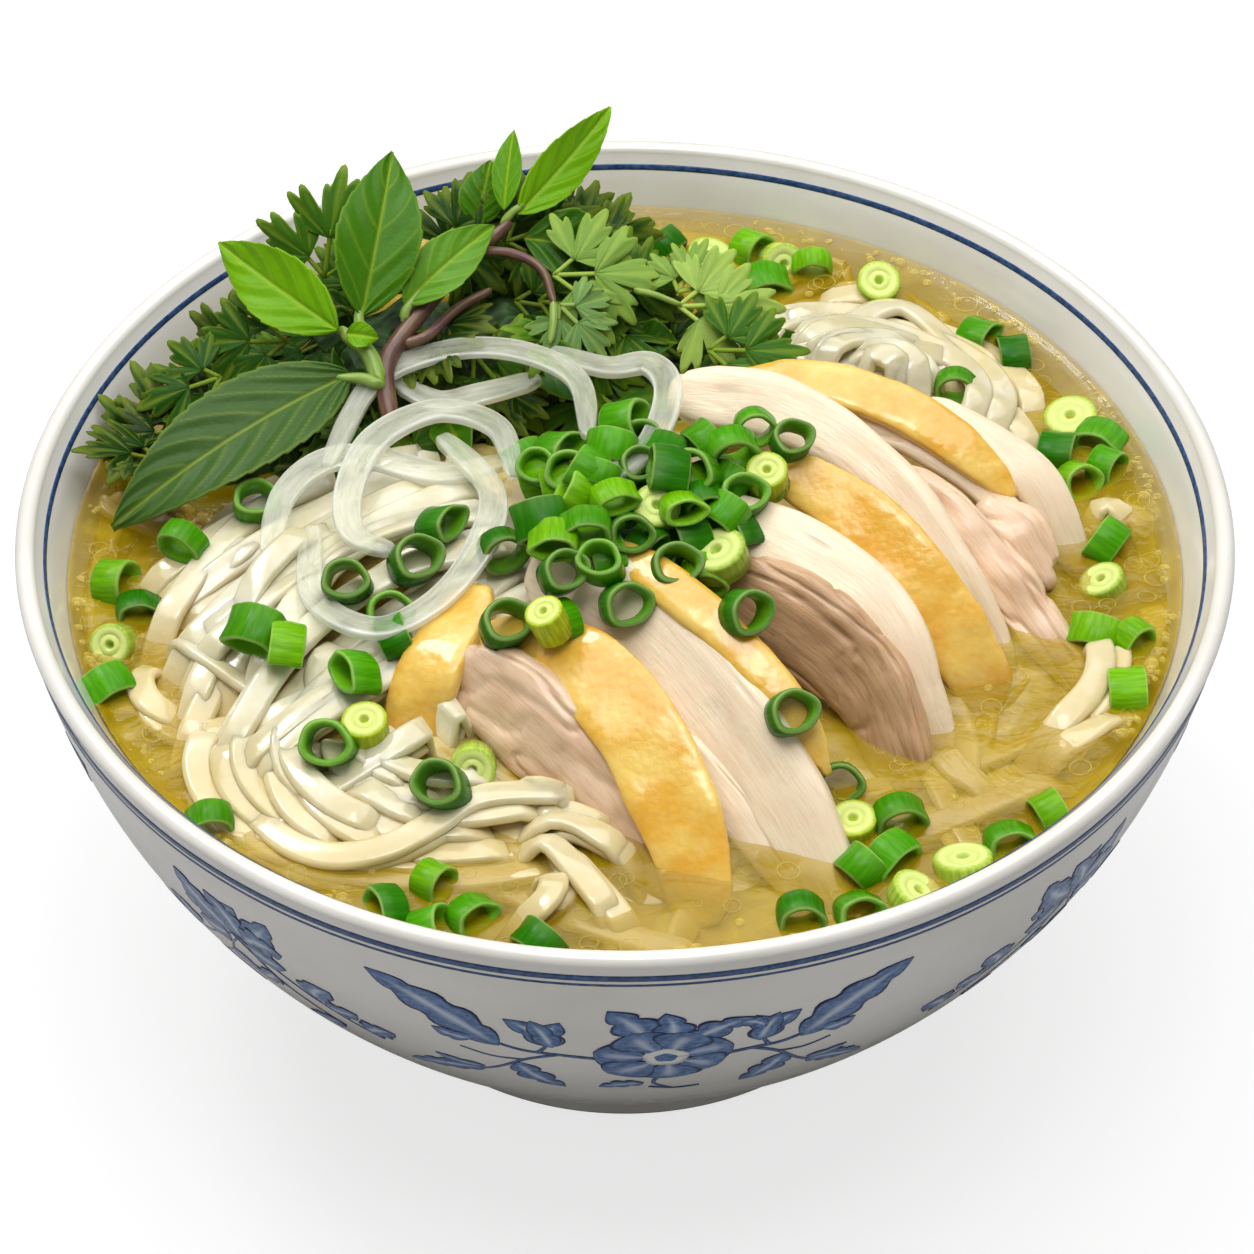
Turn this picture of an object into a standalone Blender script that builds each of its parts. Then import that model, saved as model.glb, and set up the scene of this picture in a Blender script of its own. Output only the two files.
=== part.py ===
"""Chicken noodle soup in a footed porcelain bowl, modelled in metres with +Z up.

The origin is the centre of the foot ring on the table. The bowl is turned, the broth and the
noodles fill it, and chicken, onion, herbs and sliced scallion lie on top, leaning on each other.
Every piece is carved by the pieces that lie over it, so neighbours keep a small gap.
"""

import math

import bmesh
import bpy
from mathutils import Matrix, Vector
from mathutils.bvhtree import BVHTree

MM = 0.001

# Driving dimensions, in millimetres.
RIM_RADIUS = 100.0
BOWL_HEIGHT = 94.0
LIP_THICKNESS = 3.4
WALL_THICKNESS = 6.4
FOOT_RADIUS = 48.2
FOOT_HEIGHT = 10.0
FOOT_RECESS = 4.5
BROTH_LEVEL = 84.0
BROTH_FLOOR = 13.0
NOODLE_FLOOR = 66.0
INNER_HEIGHTS = [14.4, 18.0, 27.0, 42.0, 62.0, BROTH_LEVEL]
HERB_FLOOR = 80.5
GAP = 0.32
# Moving a point along its corner normal shifts the faces beside it by less, so cutters grow more.
CUTTER_GROWTH = 1.45 * GAP

# Mesh fineness.
BOWL_SIDES = 32
MOUND_SIDES = 26
STRIP_RINGS = 7
STRIP_SIDES = 8
ONION_RINGS = 12
STEM_SIDES = 6


def clear_scene():
    for old in list(bpy.data.objects):
        bpy.data.objects.remove(old, do_unlink=True)


def finish(name, colour, roughness, transmission=0.0):
    """A Principled material of one of the kitchen's surfaces."""
    material = bpy.data.materials.new(name)
    material.use_nodes = True
    shader = material.node_tree.nodes["Principled BSDF"]
    shader.inputs["Base Color"].default_value = (*colour, 1.0)
    shader.inputs["Roughness"].default_value = roughness
    shader.inputs["Transmission Weight"].default_value = transmission
    material.diffuse_color = (*colour, 1.0)
    return material


def add_piece(name, points, faces, material):
    """A closed mesh from points in millimetres, with its faces turned outward."""
    mesh = bpy.data.meshes.new(name)
    mesh.from_pydata([tuple(MM * c for c in point) for point in points], [], faces)
    shell = bmesh.new()
    shell.from_mesh(mesh)
    bmesh.ops.recalc_face_normals(shell, faces=shell.faces)
    bmesh.ops.triangulate(shell, faces=shell.faces)
    shell.to_mesh(mesh)
    shell.free()
    mesh.materials.append(material)
    mesh.shade_smooth()
    mesh.set_sharp_from_angle(angle=math.radians(50))
    piece = bpy.data.objects.new(name, mesh)
    bpy.context.scene.collection.objects.link(piece)
    return piece


def loft(rings):
    """Points and faces of a skin over equal rings, capped at both ends."""
    sides = len(rings[0])
    points = [point for ring in rings for point in ring]
    faces = []
    for i in range(len(rings) - 1):
        here = i * sides
        there = here + sides
        for j in range(sides):
            k = (j + 1) % sides
            faces.append((here + j, here + k, there + k, there + j))
    faces.append(tuple(range(sides)))
    faces.append(tuple(range(len(points) - sides, len(points))))
    return points, faces


def turned_point(radius, z, side):
    """The point of a turned shape at one of the bowl's even divisions."""
    angle = 2 * math.pi * side / BOWL_SIDES
    return Vector((radius * math.cos(angle), radius * math.sin(angle), z))


def along(values, t):
    """The value at t from 0 to 1 on a smooth curve through evenly spaced numbers or vectors."""
    last = len(values) - 1
    place = min(max(t, 0.0), 1.0) * last
    i = min(int(place), last - 1)
    u = place - i
    before = values[max(i - 1, 0)]
    start = values[i]
    end = values[i + 1]
    after = values[min(i + 2, last)]
    curve = (start * 2 + (end - before) * u
             + (before * 2 - start * 5 + end * 4 - after) * u * u
             + (start * 3 - before - end * 3 + after) * u ** 3)
    return curve * 0.5


def section(centre, side, normal, width, thickness, corners, squareness=0.55):
    """A rounded oblong across a strip, as points in order round it."""
    ring = []
    for j in range(corners):
        angle = 2 * math.pi * (j + 0.5) / corners
        c = math.cos(angle)
        s = math.sin(angle)
        x = math.copysign(abs(c) ** squareness, c) * width / 2
        y = math.copysign(abs(s) ** squareness, s) * thickness / 2
        ring.append(centre + side * x + normal * y)
    return ring


# ---------------------------------------------------------------- bowl and broth

def bowl_outer(z):
    """Outer radius of the flaring wall: steep from the foot, then swelling towards the rim."""
    rise = (z - FOOT_HEIGHT) / (BOWL_HEIGHT - FOOT_HEIGHT)
    start = FOOT_RADIUS + 0.8
    return start + (RIM_RADIUS - start) * rise ** 0.65 * (1 + 0.15 * math.sin(math.pi * rise ** 0.8))


def bowl_inner(z):
    """Inner radius of the wall: thin at the lip, thicker below it, and closing to a round floor."""
    depth = BOWL_HEIGHT - z
    wall = LIP_THICKNESS + (WALL_THICKNESS - LIP_THICKNESS) * min(depth / 10.0, 1.0)
    radius = bowl_outer(max(z, FOOT_HEIGHT)) - wall
    rise = max((z - BROTH_FLOOR) / 34.0, 0.0)
    return radius * min(rise, 1.0) ** 0.42


def make_bowl(material):
    profile = [(FOOT_RADIUS - 5.5, 0.0), (FOOT_RADIUS - 1.2, 0.0), (FOOT_RADIUS, 1.2)]
    profile.append((FOOT_RADIUS + 0.6, FOOT_HEIGHT - 0.8))
    heights = [FOOT_HEIGHT + 0.8, 15.0, 24.0, 38.0, 56.0, 74.0, 90.0]
    profile += [(bowl_outer(z), z) for z in heights]
    lip = LIP_THICKNESS / 2
    for step in range(1, 5):
        angle = math.pi * step / 5
        profile.append((RIM_RADIUS - lip + lip * math.cos(angle), BOWL_HEIGHT - lip + lip * math.sin(angle)))
    profile += [(bowl_inner(z), z) for z in [89.0] + INNER_HEIGHTS[::-1]]
    points = [turned_point(radius, z, side) for side in range(BOWL_SIDES) for radius, z in profile]
    count = len(profile)
    faces = []
    for i in range(BOWL_SIDES):
        here = i * count
        there = (i + 1) % BOWL_SIDES * count
        for j in range(count - 1):
            faces.append((here + j, there + j, there + j + 1, here + j + 1))
    inside = len(points)
    points.append(Vector((0.0, 0.0, BROTH_FLOOR)))
    beneath = len(points)
    points.append(Vector((0.0, 0.0, FOOT_RECESS + 1.0)))
    recess = len(points)
    points += [turned_point(FOOT_RADIUS - 6.5, FOOT_RECESS, side) for side in range(BOWL_SIDES)]
    for i in range(BOWL_SIDES):
        k = (i + 1) % BOWL_SIDES
        faces.append((i * count + count - 1, k * count + count - 1, inside))
        faces.append((i * count, k * count, recess + k, recess + i))
        faces.append((recess + i, recess + k, beneath))
    return add_piece("bowl", points, faces, material)


def make_broth(material):
    """The broth as one body up to its level, a hair inside the bowl's inner face."""
    rings = []
    for z in INNER_HEIGHTS:
        radius = bowl_inner(z) - GAP * (5 if z < 30 else 1.4)
        rings.append([turned_point(radius, z, side) for side in range(BOWL_SIDES)])
    points, faces = loft(rings)
    return add_piece("broth", points, faces, material)


# ---------------------------------------------------------------- heaps

def make_mound(name, outline, top, floor, shelf, material, steps=5):
    """A heap: rings shrink from the outline to its middle, with an uneven top over a rounded foot."""
    middle = sum((outline(2 * math.pi * i / MOUND_SIDES) for i in range(MOUND_SIDES)), Vector((0.0, 0.0)))
    middle = middle / MOUND_SIDES

    def ring_at(share, height):
        ring = []
        for i in range(MOUND_SIDES):
            edge = outline(2 * math.pi * i / MOUND_SIDES)
            spot = middle + (edge - middle) * share
            ring.append(Vector((spot.x, spot.y, height(spot.x, spot.y))))
        return ring

    rings = [ring_at(0.5, lambda x, y: floor), ring_at(0.88, lambda x, y: floor + 0.25 * (shelf - floor))]
    for step in range(steps):
        share = math.cos(math.pi / 2 * step / steps)
        rings.append(ring_at(share, lambda x, y: shelf + (top(x, y) - shelf) * (1 - share ** 4) ** 0.5))
    points, faces = loft(rings)
    faces.pop()
    crown = len(points)
    points.append(Vector((middle.x, middle.y, top(middle.x, middle.y))))
    first = len(points) - 1 - MOUND_SIDES
    faces += [(first + j, first + (j + 1) % MOUND_SIDES, crown) for j in range(MOUND_SIDES)]
    return add_piece(name, points, faces, material)


def hump(x, y, centre, spread, height, lean=0.0):
    """A smooth rise of an uneven heap, its long axis turned by lean degrees."""
    turn = math.radians(lean)
    dx = x - centre[0]
    dy = y - centre[1]
    u = (dx * math.cos(turn) + dy * math.sin(turn)) / spread[0]
    v = (dy * math.cos(turn) - dx * math.sin(turn)) / spread[1]
    return height * math.exp(-0.5 * (u * u + v * v))


NOODLE_HUMPS = [
    ((-32, -4), (25, 24), 14.0, 0),
    ((28, -2), (27, 30), 15.0, -35),
    ((-26, -50), (26, 13), 7.5, -8),
    ((-62, -24), (13, 20), 6.0, 0),
    ((42, 43), (22, 11), 8.0, -35),
    ((4, 20), (26, 20), 7.0, 0),
]


def noodle_top(x, y):
    """Height of the noodles, which stand out of the broth on the left, in front and behind."""
    ripple = 0.5 * math.sin(0.31 * x + 0.17 * y) + 0.5 * math.sin(0.12 * x - 0.34 * y + 1.0)
    rise = sum(hump(x, y, centre, spread, height, lean) for centre, spread, height, lean in NOODLE_HUMPS)
    return 79.5 + min(rise, 16.0) + ripple


def noodle_outline(angle):
    reach = 84.0 + 2.2 * math.sin(3 * angle + 0.6) + 1.4 * math.sin(7 * angle)
    return Vector((reach * math.cos(angle), reach * math.sin(angle)))


def herb_outline(angle):
    """A crescent that follows the back left of the bowl."""
    reach = 1 + 0.05 * math.sin(5 * angle) + 0.04 * math.sin(9 * angle + 2)
    u = math.cos(angle) * reach
    v = math.sin(angle) * reach
    return Vector((-27 + 55 * u, 46 + 19.5 * v - 22 * u * u + 8.5 * u))


def herb_top(x, y):
    tangle = 1.6 * math.sin(0.42 * x + 0.2 * y) + 1.3 * math.sin(0.37 * y - 0.25 * x + 2)
    return 97.0 + hump(x, y, (-28, 42), (24, 12), 5.0) + tangle


def scallion_outline(angle):
    """The central pile of sliced scallion, a lumpy oval turned towards the back right."""
    reach = 1 + 0.1 * math.sin(4 * angle + 1) + 0.06 * math.sin(7 * angle)
    u = 29 * math.cos(angle) * reach
    v = 12.5 * math.sin(angle) * reach
    turn = math.radians(33)
    return Vector((4 + u * math.cos(turn) - v * math.sin(turn), -7 + u * math.sin(turn) + v * math.cos(turn)))


def scallion_top(x, y):
    return 109.5 + 1.2 * math.sin(0.5 * x) + 1.0 * math.sin(0.6 * y + 1) - 0.07 * abs(x - 4)


# ---------------------------------------------------------------- strips, rings, leaves and stems

def make_strip(name, path, widths, thickness, roll, material, rings=STRIP_RINGS, corners=STRIP_SIDES):
    """A slab that follows the middle of its upper face. Roll turns that face towards the front left."""
    path = [Vector(point) for point in path]
    loops = []
    for i in range(rings + 1):
        t = i / rings
        tangent = (along(path, t + 0.02) - along(path, t - 0.02)).normalized()
        flat = tangent.cross(Vector((0, 0, 1))).normalized()
        turn = Matrix.Rotation(math.radians(along(roll, t)), 3, tangent)
        side = turn @ flat
        normal = side.cross(tangent)
        blunt = 0.62 if i in (0, rings) else 1.0
        depth = thickness * (0.75 if i in (0, rings) else 1.0)
        width = along(widths, t) * blunt * (1 + 0.035 * math.sin(5.3 * i + len(name)))
        centre = along(path, t) - normal * thickness / 2
        loops.append(section(centre, side, normal, width, depth, corners))
    points, faces = loft(loops)
    return add_piece(name, points, faces, material)


def make_tube(name, path, radii, material, rings=6):
    path = [Vector(point) for point in path]
    loops = []
    for i in range(rings + 1):
        t = i / rings
        tangent = (along(path, t + 0.02) - along(path, t - 0.02)).normalized()
        side = tangent.cross(Vector((0.3, -1.0, 0.1))).normalized()
        normal = tangent.cross(side)
        size = 2 * along(radii, t)
        loops.append(section(along(path, t), side, normal, size, size, STEM_SIDES, 1.0))
    points, faces = loft(loops)
    return add_piece(name, points, faces, material)


def make_leaf(name, base, tip, width, material, facing=(0, -0.7, 0.7), bow=3.0, fold=0.22, rings=6):
    """A pointed oval blade from its stalk end to its tip, folded along the midrib and bowed."""
    base = Vector(base)
    tip = Vector(tip)
    length = tip - base
    side = length.cross(Vector(facing)).normalized()
    normal = side.cross(length).normalized()
    thickness = 1.0
    loops = []
    for i in range(rings + 1):
        t = i / rings
        half = width / 2 * max(math.sin(math.pi * t ** 0.8) ** 0.85, 0.09)
        spine = base + length * t + normal * bow * 4 * t * (1 - t)
        lift = normal * fold * half
        loops.append([spine - side * half + lift, spine, spine + side * half + lift,
                      spine + side * half + lift - normal * thickness,
                      spine - normal * thickness,
                      spine - side * half + lift - normal * thickness])
    points, faces = loft(loops)
    return add_piece(name, points, faces, material)


def make_lobed_leaf(name, stalk, heading, spread, size, material, facing=(0, -0.5, 0.85)):
    """A fan-shaped herb leaf: three broad lobes, each with round teeth, domed a little."""
    facing = Vector(facing).normalized()
    forward = Vector(heading).normalized()
    forward = (forward - facing * forward.dot(facing)).normalized()
    side = forward.cross(facing)
    count = 18
    outline = []
    for i in range(count):
        t = i / (count - 1)
        angle = math.radians(spread) * (t - 0.5)
        lobe = abs(math.sin(3 * math.pi * t)) ** 0.5
        reach = size * (0.55 + 0.45 * lobe) * (1 - 0.22 * abs(2 * t - 1)) * (1.05 if i % 2 else 0.93)
        droop = facing * (-0.18 * size * (reach / size) ** 2)
        outline.append(Vector(stalk) + forward * reach * math.cos(angle) + side * reach * math.sin(angle) + droop)
    thickness = facing * 0.9
    points = outline + [Vector(stalk)] + [p - thickness for p in outline] + [Vector(stalk) - thickness]
    loop = count + 1
    middle = len(points)
    centre = Vector(stalk) + forward * size * 0.3
    points += [centre, centre - thickness]
    faces = []
    for i in range(loop):
        k = (i + 1) % loop
        faces.append((i, k, middle))
        faces.append((loop + i, loop + k, middle + 1))
        faces.append((i, k, loop + k, loop + i))
    return add_piece(name, points, faces, material)


# ---------------------------------------------------------------- carving

def mesh_tree(piece):
    """A search tree over the piece's faces."""
    mesh = piece.data
    points = [v.co.copy() for v in mesh.vertices]
    return BVHTree.FromPolygons(points, [tuple(p.vertices) for p in mesh.polygons])


def grown_cutter(piece):
    """A hidden, slightly swollen copy of a piece."""
    cutter = bpy.data.objects.new("cutter_" + piece.name, piece.data.copy())
    bpy.context.scene.collection.objects.link(cutter)
    for vertex in cutter.data.vertices:
        vertex.co += vertex.normal * CUTTER_GROWTH * MM
    cutter.hide_render = True
    cutter.display_type = "WIRE"
    return cutter


def keep_largest_body(piece):
    """Drops crumbs that carving has cut off, and closes up slivers."""
    shell = bmesh.new()
    shell.from_mesh(piece.data)
    bmesh.ops.remove_doubles(shell, verts=shell.verts, dist=0.02 * MM)
    unseen = set(shell.verts)
    bodies = []
    while unseen:
        body = []
        edge = [unseen.pop()]
        while edge:
            vertex = edge.pop()
            body.append(vertex)
            for link in vertex.link_edges:
                other = link.other_vert(vertex)
                if other in unseen:
                    unseen.remove(other)
                    edge.append(other)
        bodies.append(body)

    def room(body):
        spans = [max(v.co[i] for v in body) - min(v.co[i] for v in body) for i in range(3)]
        return spans[0] * spans[1] * spans[2]

    bodies.sort(key=room)
    for body in bodies[:-1]:
        bmesh.ops.delete(shell, geom=body, context="VERTS")
    shell.to_mesh(piece.data)
    shell.free()


def carve_all(pieces):
    """Each piece loses the room that the swollen pieces before it in the list take up."""
    cutters = []
    for piece in pieces:
        tree = mesh_tree(piece)
        original = grown_cutter(piece)
        for cutter in cutters:
            if tree.overlap(mesh_tree(cutter)):
                cut = piece.modifiers.new("room for " + cutter.name, "BOOLEAN")
                cut.operation = "DIFFERENCE"
                cut.solver = "EXACT"
                cut.object = cutter
        cutters.append(original)
    bpy.context.view_layer.update()
    graph = bpy.context.evaluated_depsgraph_get()
    for piece in pieces:
        if piece.modifiers:
            carved = bpy.data.meshes.new_from_object(piece.evaluated_get(graph))
            carved.name = piece.name
            piece["carved"] = carved
    for piece in pieces:
        if piece.modifiers:
            piece.modifiers.clear()
            piece.data = piece["carved"]
            del piece["carved"]
            keep_largest_body(piece)
    for cutter in cutters:
        bpy.data.objects.remove(cutter, do_unlink=True)


# ---------------------------------------------------------------- the dish

def make_chicken(skin, white_meat, dark_meat):
    """Sliced leg and breast fanned over the noodles, every slab falling towards the front right."""
    skins = [
        ("thigh_skin_end", [(-24, -22, 98.5), (-30, -34, 97.5), (-33, -41, 92), (-33, -46, 82)],
         [9, 11, 11, 9], 3.6, [10, 10]),
        ("thigh_skin", [(-23, -32, 97), (-9, -40, 100.5), (1, -52, 98), (9, -67, 89), (12, -77, 79)],
         [9, 13, 14, 13, 10], 2.6, [30, 26, 24]),
        ("breast_skin", [(-7, -19, 107), (4, -30, 107), (15, -41, 103.5), (23, -50, 97), (28, -56, 90)],
         [6, 7, 7, 6.5, 4], 4.4, [24, 22, 22]),
        ("back_skin", [(24, 0, 106), (38, -10, 103), (48, -20, 96.5), (56, -28, 88), (59, -31, 80)],
         [8, 11, 12, 11, 9], 2.8, [34, 30, 26]),
        ("far_skin", [(20, 24, 104), (35, 21, 105), (47, 17, 102.5), (58, 11, 97.5), (64, 7, 93)],
         [6, 8, 8, 7, 4], 2.6, [20, 20]),
    ]
    meats = [
        ("breast_meat", [(-14, -22, 103), (0, -33, 102.5), (13, -48, 97.5), (25, -63, 88.5), (33, -74, 78)],
         [15, 17, 17, 15, 9], 5.0, [44, 42, 38]),
        ("breast_under_meat", [(8, -52, 93.5), (19, -63, 86), (29, -73, 78)], [6, 7, 5], 3.0, [38, 36]),
        ("middle_meat", [(9, -10, 104), (26, -18, 104.5), (40, -27, 99.5), (46, -37, 90), (50, -43, 80)],
         [11, 12, 11, 10, 8], 4.0, [28, 26, 24]),
        ("back_meat", [(9, 20, 104), (25, 14, 106), (41, 2, 103), (53, -12, 94), (62, -23, 80)],
         [11, 11, 9, 8, 7], 5.0, [30, 34, 30]),
        ("far_meat", [(50, 21, 100), (61, 15, 96.5), (69, 10, 92), (75, 2, 81)], [6, 8, 8, 6], 4.0, [20, 20]),
        ("far_torn_meat", [(36, 16, 99.5), (46, 15, 99), (56, 10, 95.5), (66, 3, 89)], [5, 6, 6, 4], 3.0, [35, 35]),
    ]
    dark_meats = [
        ("thigh_meat", [(-26, -38, 95), (-15, -49, 93), (-5, -58, 88), (7, -71, 80)],
         [14, 17, 13, 8], 6.0, [60, 55, 50]),
        ("middle_dark_meat", [(16, -22, 99), (28, -30, 97), (38, -38, 91), (44, -48, 80)],
         [12, 16, 15, 11], 5.0, [62, 58, 52]),
        ("far_dark_meat", [(43, 4, 99), (53, -2, 96), (63, -12, 89), (74, -24, 79)], [8, 9, 9, 7], 4.5, [35, 35]),
        ("far_torn_knob", [(60, 3, 93.5), (65, -2, 93), (69, -7, 88)], [8, 10, 7], 7.0, [20, 20]),
    ]
    pieces = []
    for group, material in ((skins, skin), (meats, white_meat), (dark_meats, dark_meat)):
        for name, path, widths, thickness, roll in group:
            pieces.append(make_strip(name, path, widths, thickness, roll, material))
    return pieces


def make_onions(material):
    """Thin slices of raw onion, some whole loops and some opened into hooks."""
    slices = [
        ("onion_ring_1", [(-38, -15, 101), (-44, -11, 101), (-45, -1, 101.5), (-41, 11, 102), (-31, 17, 103),
                          (-21, 11, 104.5), (-18, -1, 104.5)], 4.6),
        ("onion_ring_2", [(-30, 12, 101), (-22, 0, 101), (-23, -13, 101), (-30, -25, 99.5), (-40, -30, 98),
                          (-50, -21, 96.5), (-51, -7, 98)], 5.0),
        ("onion_ring_3", [(-49, 8, 99), (-42, 27, 100.5), (-30, 32, 103), (-18, 28, 106.5), (-8, 18, 109),
                          (-6, 2, 111)], 4.4),
        ("onion_ring_4", [(-12, 27, 107), (-3, 21, 109), (4, 20, 110.5), (7, 11, 112.5), (4, -2, 112.5),
                          (-4, -12, 112.5)], 4.6),
        ("onion_ring_5", [(-58, -10, 95.5), (-56, 2, 97.5), (-50, 9, 98.5), (-42, 10, 98.8), (-30, 6, 98.8),
                          (-17, 9, 100)], 5.0),
        ("onion_ring_6", [(-38, 29, 98.5), (-31, 24, 98.8), (-24, 25, 99.5), (-15, 27, 101)], 4.6),
    ]
    return [make_strip(name, path, [width * 0.8, width, width, width * 0.8], 1.7, [0, 6, 0], material,
                       ONION_RINGS, 6) for name, path, width in slices]


def make_herbs(leaf, pale_leaf, purple_stem, green_stem):
    """Basil sprigs and coriander leaves that stand out of the herb bed."""
    stems = [
        make_tube("basil_stem_1", [(-39, 20, 97), (-40, 29, 101), (-36, 36, 104.5), (-27, 47, 109), (-20, 53, 112)],
                  [1.7, 1.6, 1.4, 1.1], purple_stem),
        make_tube("basil_stem_2", [(-41, 26, 101), (-43, 30, 103.5), (-47, 33, 105.5)], [1.6, 1.5, 1.2],
                  green_stem, 4),
        make_tube("coriander_stem_1", [(-25, 48, 110.8), (-19, 47, 111), (-14, 44, 110), (-12, 39, 107)],
                  [0.9, 0.8, 0.7], purple_stem, 5),
    ]
    blades = [
        ("basil_leaf_1", (-46, 27, 101.5), (-85, 3, 90), 18, (-0.25, -0.45, 0.85), 3.0),
        ("basil_leaf_2", (-48, 32, 107), (-69, 49, 112), 12, (-0.1, -0.75, 0.6), 1.5),
        ("basil_leaf_3", (-44, 35, 107.5), (-39, 60, 123), 14.5, (0.1, -0.85, 0.5), 1.5),
        ("basil_leaf_4", (-46.5, 31, 107), (-41, 30.5, 106.5), 4.5, (-0.2, -0.6, 0.7), 0.8),
        ("basil_leaf_5", (-37, 38, 107.5), (-22, 50, 115), 9.5, (-0.3, -0.7, 0.6), 1.5),
        ("basil_leaf_6", (-18, 54.5, 113.5), (-2, 73, 122), 8.5, (0.3, -0.75, 0.55), 1.0),
        ("basil_leaf_7", (-20.5, 55, 114), (-19, 67, 122), 5, (-0.2, -0.85, 0.45), 0.5),
        ("basil_leaf_8", (-17, 53, 109.5), (0, 53, 104), 12, (0.1, -0.5, 0.85), 2.0),
        ("basil_leaf_9", (-25, 58, 108), (-23, 66, 116), 8, (-0.2, -0.8, 0.5), 0.5),
    ]
    basil = [make_leaf(name, base, tip, width, leaf, facing, bow)
             for name, base, tip, width, facing, bow in blades]
    fans = [
        ("coriander_leaf_1", (-12, 44.5, 108.5), (1, 0.1, -0.1), 150, 19, (0, -0.5, 0.85)),
        ("coriander_leaf_2", (9, 43, 106), (0.5, 1, 0.2), 170, 11, (0, -0.5, 0.85)),
        ("coriander_leaf_3", (9, 40, 105.5), (1, 0, 0), 150, 18, (0, -0.5, 0.85)),
        ("coriander_leaf_4", (-11, 39, 106.5), (0.7, -0.8, 0), 150, 12, (0, -0.5, 0.85)),
        ("coriander_leaf_5", (-57, 36, 101), (-1, 0.1, 0), 150, 17, (-0.1, -0.6, 0.75)),
        ("coriander_leaf_6", (-51, 49, 104), (0.1, 0.7, 1), 140, 19, (-0.1, -0.85, 0.5)),
        ("coriander_leaf_7", (14, 31, 103.5), (1, -0.1, 0), 130, 17, (0, -0.5, 0.85)),
        ("coriander_leaf_8", (-68, 31, 97.5), (-1, -0.3, -0.3), 140, 15, (-0.1, -0.5, 0.85)),
    ]
    coriander = [make_lobed_leaf(name, stalk, heading, spread, size, pale_leaf, facing)
                 for name, stalk, heading, spread, size, facing in fans]
    return stems + basil + coriander


def main():
    clear_scene()
    porcelain = finish("porcelain", (0.83, 0.82, 0.80), 0.12)
    broth = finish("broth", (0.62, 0.42, 0.07), 0.05, 0.3)
    noodle = finish("noodle", (0.86, 0.85, 0.76), 0.28)
    skin = finish("chicken_skin", (0.80, 0.50, 0.13), 0.3)
    white_meat = finish("white_meat", (0.80, 0.62, 0.47), 0.45)
    dark_meat = finish("dark_meat", (0.55, 0.36, 0.26), 0.4)
    onion = finish("onion", (0.85, 0.87, 0.74), 0.2, 0.3)
    leaf = finish("basil_leaf", (0.06, 0.20, 0.03), 0.4)
    pale_leaf = finish("coriander_leaf", (0.13, 0.30, 0.08), 0.45)
    purple_stem = finish("purple_stem", (0.16, 0.06, 0.06), 0.4)
    green_stem = finish("green_stem", (0.25, 0.38, 0.06), 0.4)
    scallion = finish("scallion", (0.10, 0.38, 0.02), 0.3)

    make_bowl(porcelain)
    herbs = make_herbs(leaf, pale_leaf, purple_stem, green_stem)
    onions = make_onions(onion)
    chicken = make_chicken(skin, white_meat, dark_meat)
    heaps = [
        make_mound("scallion_heap", scallion_outline, scallion_top, 99.0, 103.0, scallion, 4),
        make_mound("herb_bed", herb_outline, herb_top, HERB_FLOOR, 85.5, leaf, 4),
        make_mound("noodle_heap", noodle_outline, noodle_top, NOODLE_FLOOR, 74.0, noodle, 6),
    ]
    carve_all(herbs + onions + chicken[:5] + [heaps[0]] + chicken[5:] + heaps[1:] + [make_broth(broth)])


main()
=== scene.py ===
"""Looks of a footed porcelain bowl of clear broth with rice noodles, chicken, onion and herbs."""

import math
import random

import bpy
import numpy as np
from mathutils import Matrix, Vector
from mathutils.bvhtree import BVHTree


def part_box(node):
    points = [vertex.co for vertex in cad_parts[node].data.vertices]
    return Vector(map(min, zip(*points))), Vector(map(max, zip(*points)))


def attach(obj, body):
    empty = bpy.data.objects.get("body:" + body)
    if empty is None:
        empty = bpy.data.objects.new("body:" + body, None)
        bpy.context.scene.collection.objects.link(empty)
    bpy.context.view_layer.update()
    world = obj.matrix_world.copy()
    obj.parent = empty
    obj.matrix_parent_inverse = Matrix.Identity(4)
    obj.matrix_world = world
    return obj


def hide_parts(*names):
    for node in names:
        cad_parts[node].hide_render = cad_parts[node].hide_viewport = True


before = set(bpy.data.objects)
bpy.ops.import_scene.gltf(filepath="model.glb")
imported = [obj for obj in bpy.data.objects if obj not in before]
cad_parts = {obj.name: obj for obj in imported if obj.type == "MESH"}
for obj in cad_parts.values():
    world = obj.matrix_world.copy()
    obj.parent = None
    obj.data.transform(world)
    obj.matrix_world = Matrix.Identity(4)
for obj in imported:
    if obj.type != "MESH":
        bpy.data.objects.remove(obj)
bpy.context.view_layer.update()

MM = 0.001
BODY = "root"

# The bowl, in millimetres. The CAD lip is a polygon, so its box falls a little short of the round.
LIP_SHORTFALL = 0.32
CROWN_SHORTFALL = 0.08
BOWL_LOW, BOWL_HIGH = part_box("bowl")
RIM_RADIUS = (BOWL_HIGH.x - BOWL_LOW.x) / 2 / MM + LIP_SHORTFALL
BOWL_HEIGHT = BOWL_HIGH.z / MM + CROWN_SHORTFALL
LIP_THICKNESS = 3.4
WALL_THICKNESS = 6.4
FOOT_RADIUS = 48.2
FOOT_HEIGHT = 10.0
FOOT_RECESS = 4.5
BROTH_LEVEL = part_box("broth")[1].z / MM
BROTH_FLOOR = 13.0


# ---------------------------------------------------------------- numbers and curves

def rgb(red, green, blue):
    """A screen colour as linear light."""
    return tuple(((c / 255 + 0.055) / 1.055) ** 2.4 for c in (red, green, blue))


def step_up(values, low, high):
    """0 below low, 1 above high, and smooth between."""
    part = np.clip((np.asarray(values, float) - low) / (high - low), 0, 1)
    return part * part * (3 - 2 * part)


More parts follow.
